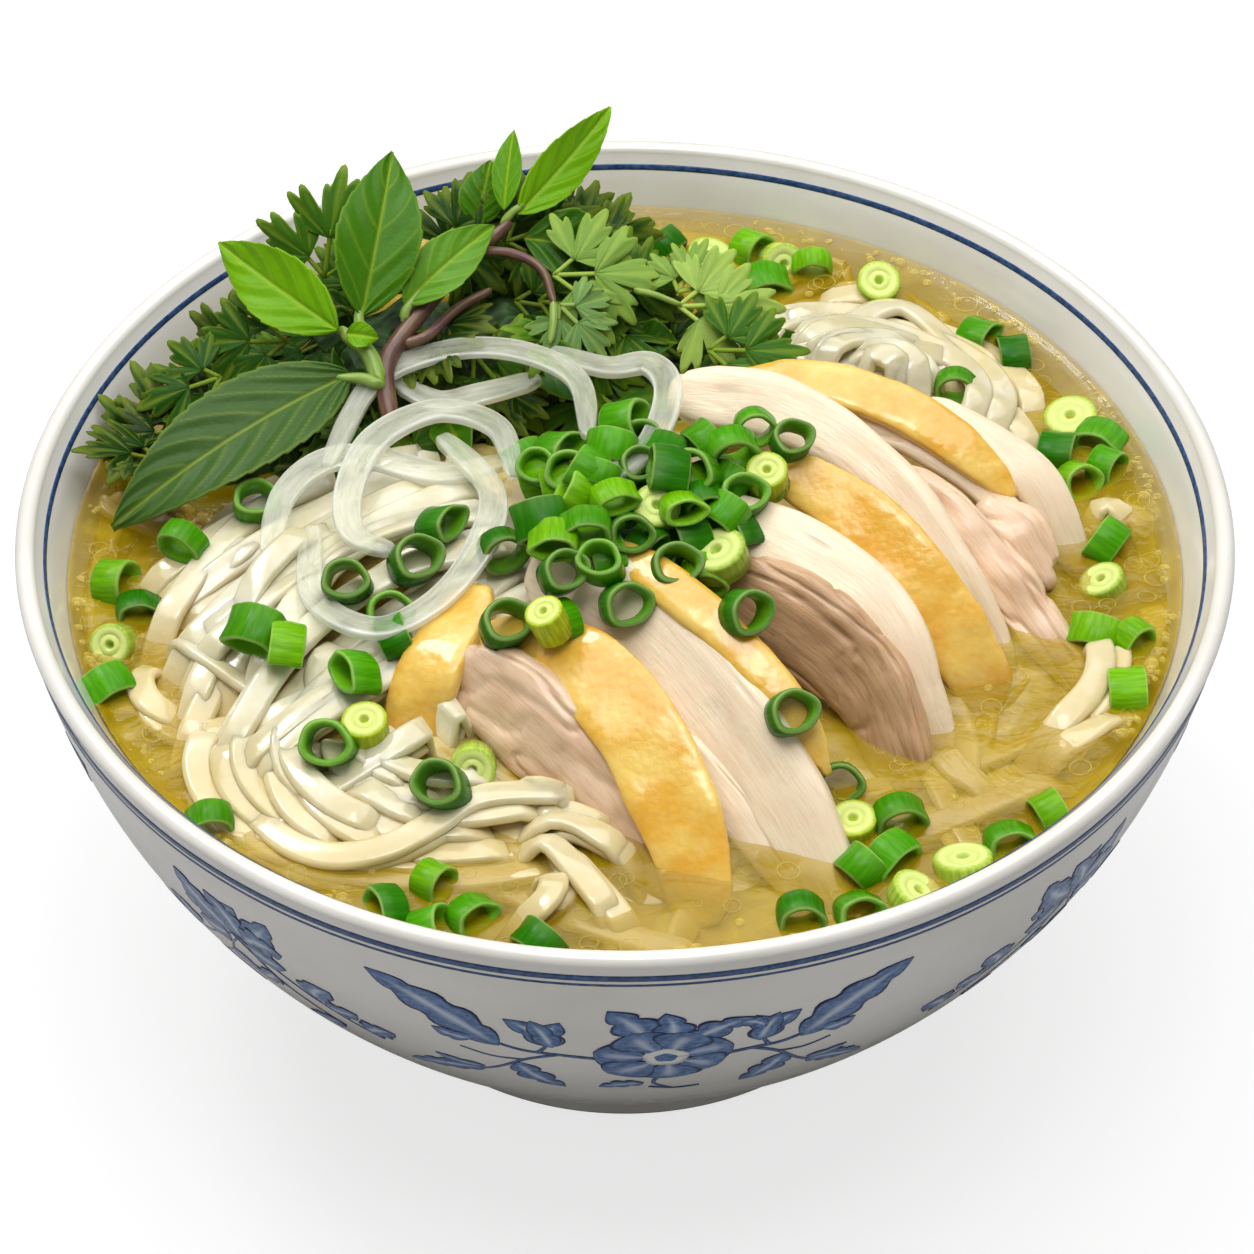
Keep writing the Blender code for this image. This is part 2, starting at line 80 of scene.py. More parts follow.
def lattice(cells, seed):
    """A steady random number from 0 to 1 for each whole-number cell."""
    mixed = (cells[..., 0] * 73856093) ^ (cells[..., 1] * 19349663) ^ (cells[..., 2] * 83492791)
    mixed = (mixed ^ (seed * 9176 + 77)) * 1274126177
    mixed = (mixed ^ (mixed >> 13)) * 668265263
    return ((mixed ^ (mixed >> 16)) & 0xFFFF) / 65535.0


def waves(places, size, seed=0):
    """Smooth noise from -1 to 1. Size is how far apart its bumps are, one number or one for each axis."""
    scaled = np.asarray(places, float) / np.asarray(size, float)
    low = np.floor(scaled).astype(np.int64)
    part = scaled - low
    part = part * part * (3 - 2 * part)
    total = 0.0
    for corner in range(8):
        step = np.array([corner & 1, corner >> 1 & 1, corner >> 2 & 1])
        weight = np.prod(np.where(step == 1, part, 1 - part), axis=-1)
        total = total + weight * lattice(low + step, seed)
    return total * 2 - 1


def run_along(values, shares):
    """Values at these shares, 0 to 1, of a smooth curve through evenly spaced numbers or points."""
    values = np.asarray(values, float)
    last = len(values) - 1
    place = np.clip(shares, 0, 1) * last
    i = np.minimum(place.astype(int), last - 1)
    u = place - i
    if values.ndim > 1:
        u = u[:, None]
    before = values[np.maximum(i - 1, 0)]
    start = values[i]
    end = values[i + 1]
    after = values[np.minimum(i + 2, last)]
    bend = (end - before) * u + (2 * before - 5 * start + 4 * end - after) * u ** 2
    return 0.5 * (2 * start + bend + (3 * start - before - 3 * end + after) * u ** 3)


def unit(vectors):
    return vectors / np.maximum(np.linalg.norm(vectors, axis=-1, keepdims=True), 1e-9)


# ---------------------------------------------------------------- meshes

def add_mesh(name, points, faces, material, layers=None):
    """A smooth mesh piece from points in millimetres. Layers are numbers or colours kept at each point."""
    mesh = bpy.data.meshes.new(name)
    mesh.from_pydata((np.asarray(points, float).reshape(-1, 3) * MM).tolist(), [], faces)
    for label, values in (layers or {}).items():
        values = np.asarray(values, float)
        kind = "FLOAT" if values.size == len(mesh.vertices) else "FLOAT_VECTOR"
        layer = mesh.attributes.new(label, kind, "POINT")
        layer.data.foreach_set("value" if kind == "FLOAT" else "vector", values.ravel().astype(np.float32))
    if material:
        mesh.materials.append(material)
    mesh.shade_smooth()
    piece = bpy.data.objects.new(name, mesh)
    bpy.context.scene.collection.objects.link(piece)
    return piece


def closed_mesh(name, points, faces, material, layers=None):
    """A piece whose faces close it all round, made to look outward."""
    piece = add_mesh(name, points, faces, material, layers)
    turn_outward(piece)
    return piece


def grid_faces(rows, columns, first=0, wrap=True):
    """Faces over rows of points; wrap joins the last column to the first."""
    faces = []
    for i in range(rows - 1):
        for j in range(columns if wrap else columns - 1):
            k = (j + 1) % columns
            here = first + i * columns
            faces.append((here + j, here + k, here + columns + k, here + columns + j))
    return faces


def hoop_faces(sides, corners):
    """Faces of a closed hoop: turned rings whose section is closed too."""
    faces = []
    for i in range(sides):
        k = (i + 1) % sides
        for j in range(corners):
            m = (j + 1) % corners
            faces.append((i * corners + j, k * corners + j, k * corners + m, i * corners + m))
    return faces


def end_faces(rows, corners):
    """The two faces that close a tube given as rows of points."""
    return [tuple(range(corners))[::-1], tuple(range((rows - 1) * corners, rows * corners))]


def pole_faces(sides, columns):
    """The two small faces that close a turned skin at its axis."""
    return [tuple(i * columns for i in range(sides))[::-1],
            tuple(i * columns + columns - 1 for i in range(sides))]


def ring_normals(rings, centres):
    """Outward directions of a skin given as rings of points round their centres."""
    around = np.roll(rings, -1, axis=1) - np.roll(rings, 1, axis=1)
    forward = np.gradient(rings, axis=0)
    normals = unit(np.cross(around, forward))
    outward = np.sum(normals * (rings - centres[:, None]), axis=-1, keepdims=True)
    return normals * np.where(outward.mean() < 0, -1.0, 1.0)


def slab(path, widths, thickness, roll, step=0.5, corners=44, squareness=0.55, bottom=False):
    """Rings of a rounded slab whose path is the middle of its upper face, closed by round ends.

    Gives the points, their outward directions, and each point's place in the slab: how far along,
    how far across and how deep, in millimetres.
    """
    rough = run_along(path, np.linspace(0, 1, 60))
    length = np.linalg.norm(np.diff(rough, axis=0), axis=1).sum()
    count = max(int(length / step), 8)
    shares = np.linspace(0, 1, count)
    line = run_along(path, shares)
    tangent = unit(run_along(path, shares + 0.01) - run_along(path, shares - 0.01))
    flat = unit(np.cross(tangent, [0.0, 0.0, 1.0]))
    turn = np.radians(run_along(roll, shares))[:, None]
    side = flat * np.cos(turn) + np.cross(tangent, flat) * np.sin(turn)
    normal = np.cross(side, tangent)
    ends = np.clip(np.minimum(shares, 1 - shares) / 0.1, 0, 1) ** 0.6
    width = run_along(widths, shares) * (0.62 + 0.38 * ends)
    deep = run_along(np.broadcast_to(thickness, len(path)), shares)
    angles = 2 * np.pi * (np.arange(corners) + 0.5) / corners
    x = np.sign(np.cos(angles)) * np.abs(np.cos(angles)) ** squareness
    y = np.sign(np.sin(angles)) * np.abs(np.sin(angles)) ** squareness
    across = x[None, :] * width[:, None] / 2
    depth = y[None, :] * deep[:, None] / 2
    centres = line - normal * deep[:, None] * (0.0 if bottom else 0.5)
    run = np.broadcast_to((shares * length)[:, None], across.shape)
    caps = np.radians([18, 36, 54, 72, 86])
    rows = [(0, math.cos(a), -math.sin(a)) for a in caps[::-1]]
    rows += [(i, 1.0, 0.0) for i in range(count)]
    rows += [(count - 1, math.cos(a), math.sin(a)) for a in caps]
    pick = np.array([row[0] for row in rows])
    shrink = np.array([row[1] for row in rows])[:, None]
    push = np.array([row[2] for row in rows])[:, None] * deep[pick][:, None] * 0.5
    centres = centres[pick] + tangent[pick] * push
    across = across[pick] * shrink
    depth = depth[pick] * shrink
    rings = centres[:, None] + side[pick][:, None] * across[..., None]
    rings = rings + normal[pick][:, None] * depth[..., None]
    grain = np.stack([run[pick] + push, across, depth], axis=-1)
    return rings, ring_normals(rings, centres), grain


def add_slab(name, rings, material, layers=None):
    rows, corners = rings.shape[:2]
    return closed_mesh(name, rings, grid_faces(rows, corners) + end_faces(rows, corners), material, layers)


def turn_outward(piece):
    """Flips a closed mesh whose faces look inward."""
    mesh = piece.data
    count = len(mesh.vertices)
    places = np.empty(count * 3)
    mesh.vertices.foreach_get("co", places)
    places = places.reshape(-1, 3)
    mesh.calc_loop_triangles()
    corners = np.empty(len(mesh.loop_triangles) * 3, np.int64)
    mesh.loop_triangles.foreach_get("vertices", corners)
    a, b, c = (places[corners.reshape(-1, 3)[:, k]] for k in range(3))
    if np.sum(a * np.cross(b, c)) < 0:
        mesh.flip_normals()


def sheet_solid(grid, normals, thickness):
    """Points and faces of a closed thin sheet over a grid of points, with its underside below."""
    rows, columns = grid.shape[:2]
    below = grid - normals * np.broadcast_to(thickness, grid.shape[:2])[..., None]
    points = np.concatenate([grid.reshape(-1, 3), below.reshape(-1, 3)])
    size = rows * columns
    faces = grid_faces(rows, columns, 0, False)
    faces += [face[::-1] for face in grid_faces(rows, columns, size, False)]
    edge = list(range(columns))
    edge += [i * columns + columns - 1 for i in range(1, rows)]
    edge += [(rows - 1) * columns + j for j in range(columns - 2, -1, -1)]
    edge += [i * columns for i in range(rows - 2, 0, -1)]
    for here, there in zip(edge, edge[1:] + edge[:1]):
        faces.append((there, here, size + here, size + there))
    return points, faces


def join(name, pieces):
    """One mesh object from several, their places kept in the mesh."""
    with bpy.context.temp_override(active_object=pieces[0], object=pieces[0], selected_objects=pieces,
                                   selected_editable_objects=pieces):
        bpy.ops.object.join()
    pieces[0].name = name
    pieces[0].data.name = name
    return pieces[0]


def surface_tree(pieces):
    """A search tree over all these pieces' faces, in metres."""
    places = []
    faces = []
    for piece in pieces:
        first = len(places)
        places += [v.co.copy() for v in piece.data.vertices]
        faces += [tuple(first + i for i in p.vertices) for p in piece.data.polygons]
    return BVHTree.FromPolygons(places, faces)


def set_down(piece, stands_for=None):
    """Attaches a finished piece to its body, and hides the CAD node that it replaces."""
    if stands_for:
        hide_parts(stands_for)
    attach(piece, BODY)
    return piece


# ---------------------------------------------------------------- node graphs

class Graph:
    """Adds nodes to a tree and joins them."""

    def __init__(self, tree):
        self.tree = tree

    def feed(self, target, value):
        if isinstance(value, bpy.types.NodeSocket):
            self.tree.links.new(value, target)
        elif target.type == "RGBA":
            target.default_value = (*value, 1.0)
        else:
            target.default_value = value

    def add(self, kind, inputs=None, **settings):
        node = self.tree.nodes.new(kind)
        for key, value in settings.items():
            setattr(node, key, value)
        for key, value in (inputs or {}).items():
            self.feed(node.inputs[key], value)
        return node


class Finish(Graph):
    """A Principled material whose patterns are added one by one."""

    def __init__(self, name, **values):
        self.material = bpy.data.materials.new(name)
        self.material.use_nodes = True
        super().__init__(self.material.node_tree)
        self.shader = self.tree.nodes["Principled BSDF"]
        for key, value in values.items():
            self.put(key.replace("_", " "), value)

    def put(self, socket, value):
        self.feed(self.shader.inputs[socket], value)

    def flesh(self, weight, radius, depth):
        """Light that passes through the surface, to a depth in millimetres."""
        self.put("Subsurface Weight", weight)
        self.put("Subsurface Radius", radius)
        self.put("Subsurface Scale", depth * MM)

    def place(self, stretch=(1, 1, 1), layer=None):
        """Object coordinates, or a layer of places, in millimetres over stretch."""
        if layer:
            source = self.add("ShaderNodeAttribute", attribute_name=layer).outputs["Vector"]
            scale = [1 / s for s in stretch]
        else:
            source = self.add("ShaderNodeTexCoord").outputs["Object"]
            scale = [1 / MM / s for s in stretch]
        return self.add("ShaderNodeMapping", {"Vector": source, "Scale": scale}).outputs[0]

    def noise(self, place, detail=2.0, rough=0.5, distort=0.0):
        inputs = {"Vector": place, "Scale": 1.0, "Detail": detail, "Roughness": rough, "Distortion": distort}
        return self.add("ShaderNodeTexNoise", inputs).outputs["Fac"]

    def cells(self, place):
        inputs = {"Vector": place, "Scale": 1.0}
        return self.add("ShaderNodeTexVoronoi", inputs, feature="F1").outputs["Distance"]

    def layer(self, name):
        return self.add("ShaderNodeAttribute", attribute_name=name).outputs["Fac"]

    def colours(self, name):
        return self.add("ShaderNodeAttribute", attribute_name=name).outputs["Vector"]

    def span(self, value, low, high, start=0.0, end=1.0):
        """Value from low..high mapped to start..end, and held there."""
        inputs = {"Value": value, "From Min": low, "From Max": high, "To Min": start, "To Max": end}
        return self.add("ShaderNodeMapRange", inputs, interpolation_type="SMOOTHSTEP").outputs[0]

    def maths(self, operation, first, second=0.0):
        node = self.add("ShaderNodeMath", {0: first, 1: second}, operation=operation)
        return node.outputs[0]

    def mix(self, share, first, second, mode="MIX"):
        node = self.add("ShaderNodeMix", data_type="RGBA", blend_type=mode)
        self.feed(node.inputs[0], share)
        self.feed(node.inputs[6], first)
        self.feed(node.inputs[7], second)
        return node.outputs[2]

    def height(self):
        """Height above the table in millimetres."""
        source = self.add("ShaderNodeTexCoord").outputs["Object"]
        z = self.add("ShaderNodeSeparateXYZ", {0: source}).outputs[2]
        return self.maths("MULTIPLY", z, 1 / MM)

    def bump(self, pattern, depth, below=None):
        """Raises the surface by depth millimetres where the pattern is 1."""
        inputs = {"Height": pattern, "Distance": depth * MM, "Strength": 1.0}
        if below:
            inputs["Normal"] = below
        return self.add("ShaderNodeBump", inputs).outputs[0]

    def sunk(self, colour, tint, reach=3.6):
        """The colour deepening to the broth's tint below its level."""
        share = self.span(self.height(), BROTH_LEVEL + 0.4, BROTH_LEVEL - reach)
        return self.mix(share, colour, self.mix(0.92, colour, tint))


def new_tree(name, inputs):
    """A Geometry Nodes tree with these named inputs."""
    tree = bpy.data.node_groups.new(name, "GeometryNodeTree")
    tree.interface.new_socket("Geometry", in_out="INPUT", socket_type="NodeSocketGeometry")
    for label, kind, value in inputs:
        socket = tree.interface.new_socket(label, in_out="INPUT", socket_type=kind)
        if value is not None:
            socket.default_value = value
    tree.interface.new_socket("Geometry", in_out="OUTPUT", socket_type="NodeSocketGeometry")
    return Graph(tree)


def plain_mesh(carrier, tree, values):
    """The mesh that the tree makes from the carrier, as a piece of its own; the carrier goes."""
    modifier = carrier.modifiers.new(tree.name, "NODES")
    modifier.node_group = tree
    labels = {s.name: s.identifier for s in tree.interface.items_tree if s.in_out == "INPUT"}
    for label, value in values.items():
        modifier[labels[label]] = value
    bpy.context.view_layer.update()
    graph = bpy.context.evaluated_depsgraph_get()
    name = carrier.name
    mesh = bpy.data.meshes.new_from_object(carrier.evaluated_get(graph))
    bpy.data.objects.remove(carrier)
    piece = bpy.data.objects.new(name, mesh)
    mesh.name = name
    bpy.context.scene.collection.objects.link(piece)
    return piece


def ribbon_tree():
    """A rounded ribbon, or a round cord where width and thickness are equal, along every curve."""
    inputs = [("Width", "NodeSocketFloat", 5 * MM), ("Thickness", "NodeSocketFloat", MM),
              ("Finish", "NodeSocketMaterial", None)]
    graph = new_tree("ribbon along a path", inputs)
    start = graph.add("NodeGroupInput").outputs
    flat = graph.add("GeometryNodeSetCurveNormal", {"Curve": start["Geometry"]}, mode="Z_UP").outputs[0]
    section = graph.add("GeometryNodeCurvePrimitiveQuadrilateral",
                        {"Width": start["Width"], "Height": start["Thickness"]}).outputs[0]
    radius = graph.add("ShaderNodeMath", {0: start["Thickness"], 1: 0.46}, operation="MULTIPLY").outputs[0]
    inputs = {"Curve": section, "Radius": radius, "Count": 3}
    section = graph.add("GeometryNodeFilletCurve", inputs, mode="POLY").outputs[0]
    inputs = {"Curve": flat, "Profile Curve": section, "Fill Caps": True}
    skin = graph.add("GeometryNodeCurveToMesh", inputs).outputs[0]
    smooth = graph.add("GeometryNodeSetShadeSmooth", {"Geometry": skin}).outputs[0]
    whole = graph.add("GeometryNodeRealizeInstances", {"Geometry": smooth}).outputs[0]
    done = graph.add("GeometryNodeSetMaterial", {"Geometry": whole, "Material": start["Finish"]}).outputs[0]
    graph.add("NodeGroupOutput", {"Geometry": done})
    return graph.tree


def copies_tree():
    """Copies of a piece on points, each turned and sized by the point's own layers."""
    inputs = [("Piece", "NodeSocketObject", None), ("Finish", "NodeSocketMaterial", None)]
    graph = new_tree("copies on points", inputs)
    start = graph.add("NodeGroupInput").outputs
    piece = graph.add("GeometryNodeObjectInfo", {"Object": start["Piece"]}).outputs["Geometry"]
    turn = graph.add("GeometryNodeInputNamedAttribute", {"Name": "turn"}, data_type="FLOAT_VECTOR").outputs[0]
    size = graph.add("GeometryNodeInputNamedAttribute", {"Name": "size"}, data_type="FLOAT_VECTOR").outputs[0]
    rotation = graph.add("FunctionNodeEulerToRotation", {0: turn}).outputs[0]
    inputs = {"Points": start["Geometry"], "Instance": piece, "Rotation": rotation, "Scale": size}
    copies = graph.add("GeometryNodeInstanceOnPoints", inputs).outputs[0]
    whole = graph.add("GeometryNodeRealizeInstances", {"Geometry": copies}).outputs[0]
    done = graph.add("GeometryNodeSetMaterial", {"Geometry": whole, "Material": start["Finish"]}).outputs[0]
    graph.add("NodeGroupOutput", {"Geometry": done})
    return graph.tree


RIBBON = ribbon_tree()
COPIES = copies_tree()


def ribbons(name, strands, width, thickness, material):
    """One mesh of ribbons. A strand is points in millimetres, tilts in degrees and shares of the width."""
    curve = bpy.data.curves.new(name, "CURVE")
    curve.dimensions = "3D"
    for points, tilts, share in strands:
        spline = curve.splines.new("POLY")
        spline.points.add(len(points) - 1)
        for i, point in enumerate(points):
            spline.points[i].co = (*(c * MM for c in point), 1.0)
            spline.points[i].tilt = math.radians(tilts[i])
            spline.points[i].radius = share[i]
    carrier = bpy.data.objects.new(name, curve)
    bpy.context.scene.collection.objects.link(carrier)
    return plain_mesh(carrier, RIBBON, {"Width": width * MM, "Thickness": thickness * MM, "Finish": material})


def copies(name, base, places, turns, sizes, material, layers=None):
    """One mesh of copies of the base piece, which stays."""
    layers = dict(layers or {})
    layers["turn"] = turns
    layers["size"] = np.asarray(sizes, float)[:, None] * np.ones(3) if np.ndim(sizes) == 1 else sizes
    carrier = add_mesh(name, places, [], None, layers)
    return plain_mesh(carrier, COPIES, {"Piece": base, "Finish": material})


# ---------------------------------------------------------------- finishes

BROTH_GOLD = rgb(190, 158, 12)


def porcelain_finish():
    """White glaze, a little warm where it pools, over a bare foot."""
    f = Finish("porcelain", Roughness=0.13, Coat_Weight=0.4, Coat_Roughness=0.04)
    pools = f.noise(f.place((30, 30, 18)), 3)
    white = f.mix(f.span(pools, 0.35, 0.7), rgb(236, 233, 226), rgb(226, 223, 214))
    speck = f.span(f.noise(f.place((0.5, 0.5, 0.5)), 1), 0.76, 0.8)
    white = f.mix(f.maths("MULTIPLY", speck, 0.25), white, rgb(196, 188, 172))
    bare = f.span(f.height(), 0.7, 0.3)
    f.put("Base Color", f.mix(bare, white, rgb(205, 190, 168)))
    f.put("Normal", f.bump(f.noise(f.place((9, 9, 6)), 2), 0.06))
    return f.material


def cobalt_finish():
    """Brushed blue under the glaze: a dark outline, a pale middle vein and streaks of wash."""
    f = Finish("painted_blue", Roughness=0.2, Specular_IOR_Level=0.3)
    streaks = f.noise(f.place((1.2, 1.2, 0.8)), 3, 0.6)
    wash = f.mix(f.span(streaks, 0.3, 0.72), rgb(44, 80, 134), rgb(98, 136, 186))
    wash = f.mix(f.layer("pale"), wash, rgb(196, 208, 224))
    line = f.span(f.layer("edge"), 0.78, 0.93)
    f.put("Base Color", f.mix(line, wash, rgb(12, 34, 86)))
    f.put("Normal", f.bump(streaks, 0.02))
    return f.material


def film_finish():
    """The clear skin of the broth: golden, see-through and glossy, with slow swirls of fat."""
    f = Finish("broth", Roughness=0.04, IOR=1.6)
    swirl = f.noise(f.place((16, 11, 10)), 4, 0.6, 1.2)
    f.put("Base Color", f.mix(f.span(swirl, 0.35, 0.7), rgb(194, 160, 4), rgb(208, 178, 28)))
    glance = f.add("ShaderNodeFresnel", {"IOR": 1.33}).outputs[0]
    veil = f.span(swirl, 0.3, 0.75, 0.34, 0.5)
    f.put("Alpha", f.maths("ADD", veil, f.maths("MULTIPLY", glance, 0.6)))
    small = f.noise(f.place((5, 4, 4)), 2)
    f.put("Normal", f.bump(small, 0.12, f.bump(swirl, 0.35)))
    return f.material


def depths_finish():
    """What lies deep in the broth, soft gold with paler clouds."""
    f = Finish("broth_depths", Roughness=0.5)
    clouds = f.noise(f.place((13, 10, 8)), 4, 0.6, 0.8)
    f.put("Base Color", f.mix(f.span(clouds, 0.32, 0.72), rgb(146, 116, 2), rgb(196, 164, 26)))
    return f.material


def oil_finish():
    """Round beads of yellow fat, clear in the middle and bright at the rim."""
    f = Finish("oil_bead", Base_Color=rgb(236, 216, 104), Roughness=0.05, IOR=1.7)
    rim = f.add("ShaderNodeLayerWeight", {"Blend": 0.4}).outputs["Facing"]
    f.put("Alpha", f.span(rim, 0.15, 0.8, 0.16, 0.8))
    return f.material


def noodle_finish():
    """Wet rice noodle: milky white, half clear, tinted where the broth covers it."""
    f = Finish("noodle", Roughness=0.17, Coat_Weight=0.6, Coat_Roughness=0.06)
    tone = f.noise(f.place((9, 9, 6)), 3)
    white = f.mix(f.span(tone, 0.3, 0.7), rgb(228, 223, 198), rgb(208, 198, 156))
    # Strands lower in the heap, nearer the broth, turn darker and yellower: painted shade between the
    # strands, with the broth's yellow on them.
    low = f.span(f.height(), BROTH_LEVEL + 8, BROTH_LEVEL)
    white = f.mix(f.maths("MULTIPLY", low, 0.7), white, rgb(222, 198, 132))
    f.put("Base Color", f.sunk(white, BROTH_GOLD, 4.4))
    f.flesh(0.35, (1.0, 1.0, 1.0), 1.6)
    fine = f.noise(f.place((1.1, 1.1, 1.1)), 3)
    f.put("Normal", f.bump(fine, 0.05, f.bump(tone, 0.3)))
    return f.material


def noodle_core_finish():
    """What shows between the strands: deeper gold for paler strands seen through broth, darkened with painted
    shade in the gaps.
    """
    f = Finish("noodle_core", Roughness=0.12, Coat_Weight=0.5, Coat_Roughness=0.05)
    tone = f.noise(f.place((8, 4, 4)), 3)
    # Dark to pale gold: painted shade between the strands.
    f.put("Base Color", f.mix(f.span(tone, 0.35, 0.65), rgb(176, 146, 44), rgb(218, 198, 126)))
    return f.material


def skin_finish():
    """Poached skin: yellow, pebbled by its pores, wet, paler where the fat shows through."""
    f = Finish("chicken_skin", Roughness=0.24, Coat_Weight=0.6, Coat_Roughness=0.08)
    patches = f.noise(f.place((11, 7, 7)), 4, 0.6)
    yellow = f.mix(f.span(patches, 0.34, 0.68), rgb(234, 176, 52), rgb(244, 206, 104))
    pores = f.cells(f.place((1.5, 1.5, 1.5)))
    yellow = f.mix(f.span(pores, 0.55, 0.15, 0.0, 0.1), yellow, rgb(246, 220, 150))
    grain = f.add("ShaderNodeSeparateXYZ", {0: f.place(layer="grain")})
    depth = f.span(grain.outputs[2], 0.7, -1.2)
    yellow = f.mix(f.maths("MULTIPLY", depth, 0.65), yellow, rgb(240, 214, 150))
    f.put("Base Color", f.sunk(yellow, BROTH_GOLD))
    f.flesh(0.25, (1.0, 0.7, 0.3), 1.5)
    f.put("Normal", f.bump(f.noise(f.place((0.8, 0.8, 0.8)), 3), 0.06, f.bump(pores, -0.07)))
    return f.material


def meat_finish(name, light, dark, red):
    """Cooked meat with fibres along the slab, with painted shade darkening its cracks."""
    f = Finish(name, Roughness=0.36, Coat_Weight=0.25, Coat_Roughness=0.18)
    fibres = f.noise(f.place((6, 0.9, 0.9), "grain"), 4, 0.6, 0.5)
    blotch = f.noise(f.place((9, 6, 6)), 3)
    colour = f.mix(f.span(fibres, 0.22, 0.58), dark, light)
    colour = f.mix(f.span(blotch, 0.42, 0.72, 0.0, 0.55), colour, red)
    # The cracks turn towards half the dark colour: painted shade.
    colour = f.mix(f.span(f.layer("crack"), 0.25, 1.0, 0.0, 0.85), colour, tuple(0.5 * c for c in dark))
    f.put("Base Color", f.sunk(colour, BROTH_GOLD))
    f.flesh(0.3, (1.0, 0.55, 0.35), 1.4)
    f.put("Roughness", f.span(blotch, 0.3, 0.7, 0.26, 0.46))
    fine = f.noise(f.place((4, 0.4, 0.4), "grain"), 3, 0.6)
    f.put("Normal", f.bump(fine, 0.07, f.bump(fibres, 0.1)))
    return f.material


def onion_finish():
    """Raw onion: milky, half clear, with fine lines round the slice and brighter edges."""
    f = Finish("onion", Roughness=0.14, Coat_Weight=0.5, Coat_Roughness=0.05, IOR=1.5)
    lines = f.noise(f.place((7, 1.1, 1.6), "grain"), 4, 0.6)
    rim = f.layer("rim")
    milky = f.mix(f.span(lines, 0.3, 0.7), rgb(234, 238, 208), rgb(246, 247, 230))
    f.put("Base Color", f.mix(rim, milky, rgb(250, 250, 240)))
    solid = f.maths("ADD", f.span(lines, 0.3, 0.75, 0.22, 0.38), f.maths("MULTIPLY", rim, 0.46))
    f.put("Alpha", solid)
    f.flesh(0.3, (1.0, 1.0, 0.8), 1.5)
    f.put("Normal", f.bump(lines, 0.04))
    return f.material


def leaf_finish(name, gloss):
    """A leaf in its own green, with paler veins, a light edge and mottling."""
    f = Finish(name, Roughness=gloss, Specular_IOR_Level=0.14)
    tint = f.colours("tint")
    mottle = f.noise(f.place((2.6, 2.6, 2.6)), 4, 0.6)
    green = f.mix(f.span(mottle, 0.3, 0.72, 0.0, 0.4), tint, (0.75, 0.8, 0.6), "MULTIPLY")
    pale = f.mix(0.42, green, rgb(204, 222, 70), "SCREEN")
    green = f.mix(f.maths("MULTIPLY", f.layer("vein"), 0.6), green, pale)
    green = f.mix(f.maths("MULTIPLY", f.layer("margin"), 0.35), green, pale)
    f.put("Base Color", green)
    f.flesh(0.12, (0.5, 1.0, 0.2), 0.8)
    f.put("Normal", f.bump(f.noise(f.place((0.7, 0.7, 0.7)), 3), 0.07))
    return f.material


def stem_finish(name, colour, other):
    f = Finish(name, Roughness=0.34)
    streaks = f.noise(f.place((6, 0.9, 0.9), "grain"), 3)
    f.put("Base Color", f.mix(f.span(streaks, 0.32, 0.68), colour, other))
    f.put("Normal", f.bump(streaks, 0.1))
    return f.material


def scallion_finish():
    """Spring onion: glossy green with fine lengthways lines and pale wet cut faces."""
    f = Finish("scallion", Roughness=0.26, Specular_IOR_Level=0.14)
    tint = f.colours("tint")
    lines = f.noise(f.place((0.55, 0.55, 6), "grain"), 3, 0.6)
    green = f.mix(f.span(lines, 0.32, 0.7), f.mix(1.0, tint, (0.62, 0.72, 0.5), "MULTIPLY"), tint)
    inner = f.mix(0.35, tint, rgb(140, 190, 40))
    green = f.mix(f.layer("inside"), green, inner)
    pale = f.mix(0.8, tint, rgb(226, 236, 150))
    green = f.mix(f.layer("cut"), green, pale)
    f.put("Base Color", f.sunk(green, rgb(150, 140, 20), 5.0))
    f.flesh(0.15, (0.4, 1.0, 0.15), 1.0)
    f.put("Normal", f.bump(lines, 0.06))
    return f.material


def herb_core_finish():
    """The inside of the herb heap in very dark green: painted shade among the leaves."""
    f = Finish("herb_core", Roughness=0.6)
    leafy = f.cells(f.place((4, 3, 3)))
    # Near-black to dark green: painted shade.
    f.put("Base Color", f.mix(f.span(leafy, 0.1, 0.7), rgb(18, 38, 10), rgb(48, 84, 24)))
    f.put("Normal", f.bump(leafy, 1.2))
    return f.material


# ---------------------------------------------------------------- bowl

def outer_radius(z):
    """Outer radius of the flaring wall: steep from the foot, then swelling towards the rim."""
    rise = (np.asarray(z, float) - FOOT_HEIGHT) / (BOWL_HEIGHT - FOOT_HEIGHT)
    start = FOOT_RADIUS + 0.8
    return start + (RIM_RADIUS - start) * rise ** 0.65 * (1 + 0.15 * np.sin(np.pi * rise ** 0.8))


def inner_radius(z):
    """Inner radius of the wall: thin at the lip, thicker below it, and closing to a round floor."""
    z = np.asarray(z, float)
    depth = np.minimum((BOWL_HEIGHT - z) / 10.0, 1.0)
    wall = LIP_THICKNESS + (WALL_THICKNESS - LIP_THICKNESS) * depth
    rise = np.clip((z - BROTH_FLOOR) / 34.0, 0.0, 1.0)
    return (outer_radius(np.maximum(z, FOOT_HEIGHT)) - wall) * rise ** 0.42


def turned(profile, sides):
    """Rings of points of a turned profile of (radius, height)."""
    angles = 2 * np.pi * np.arange(sides) / sides
    profile = np.asarray(profile, float)
    x = np.cos(angles)[:, None] * profile[None, :, 0]
    y = np.sin(angles)[:, None] * profile[None, :, 0]
    return np.stack([x, y, np.broadcast_to(profile[None, :, 1], x.shape)], axis=-1)


def wrap_faces(count, columns):
    """Faces of a turned skin whose last side joins the first."""
    faces = []
    for i in range(count):
        k = (i + 1) % count
        for j in range(columns - 1):
            faces.append((i * columns + j, k * columns + j, k * columns + j + 1, i * columns + j + 1))
    return faces


